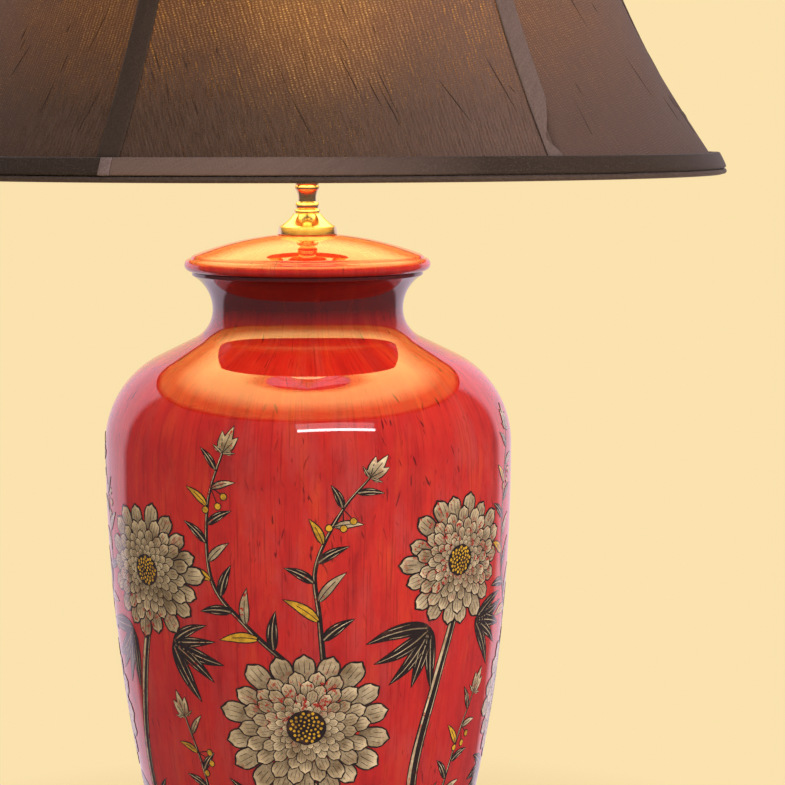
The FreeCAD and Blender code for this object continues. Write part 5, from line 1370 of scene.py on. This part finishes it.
# place, target, width, height, watts and colour, in metres
softLights = {"keyLeft": ((-1.6, -1.7, 1.7), (0, 0, 0.45), 1.2, 1.2, 15.0, (1.0, 0.97, 0.95)),
              "fillRight": ((1.95, -1.35, 1.1), (0, 0, 0.45), 1.0, 1.6, 39.0, (1.0, 0.94, 0.97))}
mirroredLights = {"strip": ((0.7, -1.98, 1.83), (0, 0, 0.35), 1.85, 0.13, 8.4, (1.0, 0.95, 0.97)),
                  "stripHaze": ((0.7, -2.0, 2.08), (0, 0, 0.35), 1.95, 0.4, 3.0, (1.0, 0.86, 0.92))}
stripRoll = -5.0
bulb = dict(power=0.12, place=(0, 0, litBulb["height"]), throughPower=7.0, throughPlace=(0.012, 0, 0.626),
            colour=(1.0, 0.80, 0.52), radius=0.028)


def makeCamera():
    lens = bpy.data.cameras.new("camera")
    lens.sensor_width = view["sensor"]
    lens.lens = view["sensor"] * view["focalPixels"] / view["frameSide"]
    camera = linked("camera", lens)
    pitched = Matrix.Rotation(math.radians(90 - view["pitch"]), 4, "X")
    rolled = Matrix.Rotation(math.radians(view["roll"]), 4, "Z")
    spot = Vector((view["across"], -view["back"], view["height"])) * mm
    camera.matrix_world = Matrix.Translation(spot) @ pitched @ rolled
    bpy.context.scene.camera = camera


def mirroredRoom(tree, place):
    # What the gloss shows, by the way it faces: the backdrop straight behind the lamp, a bright pale
    # wall to each side of it, and a dim room in front.
    x, y, z = place.parts()
    aside = (x * backdrop["rightShare"]).maths("MAXIMUM", x * -1.0).maths("ARCTAN2", y)
    front = aside.ramp(1.1, 1.0, backdrop["front"] / backdrop["beside"], 1.0)
    level = aside.ramp(0.15, 0.4, 1.0, backdrop["beside"]) * front
    return level, aside.tones(0.15, 0.4, backdrop["colour"], backdrop["mirrored"])


def makeBackdrop():
    # A plain pale surround for the camera, another for what the gloss mirrors, and a dimmer one
    # for the light.
    world = bpy.data.worlds.new("studio")
    bpy.context.scene.world = world
    world.use_nodes = True
    tree, background = Tree(world.node_tree), world.node_tree.nodes["Background"]
    camera, glossy, through = tree.rays("Camera", "Glossy", "Transmission")
    level, tone = mirroredRoom(tree, tree.add("ShaderNodeTexCoord", {}, "Generated"))
    seen = camera.maths("MAXIMUM", through)
    shown = tree.mix(seen, backdrop["glow"], backdrop["colour"])
    strength = tree.blend(seen, backdrop["light"], 1.0)
    tree.fill(background.inputs["Color"], tree.mix(glossy, shown, tone))
    tree.fill(background.inputs["Strength"], tree.blend(glossy, strength, level))


def softbox(name, mirrored, spot, target, width, height, power, tone):
    # A soft light, or a panel that shows only where the gloss mirrors it.
    lamp = bpy.data.lights.new(name, "AREA")
    lamp.shape = "RECTANGLE"
    lamp.size, lamp.size_y = width, height
    lamp.energy, lamp.color = power, tone
    box = linked(name, lamp)
    box.visible_camera = False
    box.visible_glossy = mirrored
    box.visible_diffuse = box.visible_transmission = not mirrored
    faced = (Vector(spot) - Vector(target)).to_track_quat("Z", "Y").to_matrix().to_4x4()
    rolled = Matrix.Rotation(math.radians(stripRoll if mirrored else 0), 4, "Z")
    box.matrix_world = Matrix.Translation(spot) @ faced @ rolled


def makeFloor():
    far = backdrop["floorReach"]
    mesh = bpy.data.meshes.new("floor")
    mesh.from_pydata([(-far, -far, 0), (far, -far, 0), (far, far, 0), (-far, far, 0)], [], [(0, 1, 2, 3)])
    floor = linked("floor", mesh)
    finish = Finish("paleFloor", backdrop["colour"], 0.8)
    camera, glossy = finish.rays("Camera", "Glossy")
    level, tone = mirroredRoom(finish, finish.place)
    away = finish.add("ShaderNodeVectorMath", {0: finish.place}, "Value", operation="LENGTH")
    plain = away.ramp(*backdrop["floorFade"]) * camera
    finish.passOn(plain.maths("MAXIMUM", glossy * 0.95), "ShaderNodeEmission", {
        "Color": finish.mix(glossy, backdrop["colour"], tone), "Strength": finish.blend(glossy, 1.0, level)})
    mesh.materials.append(finish.material)


def makeBulbLight(name, through, power, place):
    # Part of the bulb's light falls on the lamp, and part shows only through the silk.
    light = bpy.data.lights.new(name, "POINT")
    light.energy, light.color = power, bulb["colour"]
    light.shadow_soft_size = bulb["radius"]
    lamp = linked(name, light)
    lamp.location = place
    lamp.visible_transmission = through
    lamp.visible_diffuse = lamp.visible_glossy = not through
    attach(lamp, "bulb_glass")


def makeLights():
    for mirrored, lights in ((False, softLights), (True, mirroredLights)):
        for name, measures in lights.items():
            softbox(name, mirrored, *measures)
    makeBulbLight("bulbLight", False, bulb["power"], bulb["place"])
    makeBulbLight("bulbThrough", True, bulb["throughPower"], bulb["throughPlace"])
    nodes["bulb_glass"].visible_shadow = False


makeCamera()
makeBackdrop()
makeFloor()
makeLights()
print("camera and lights placed")
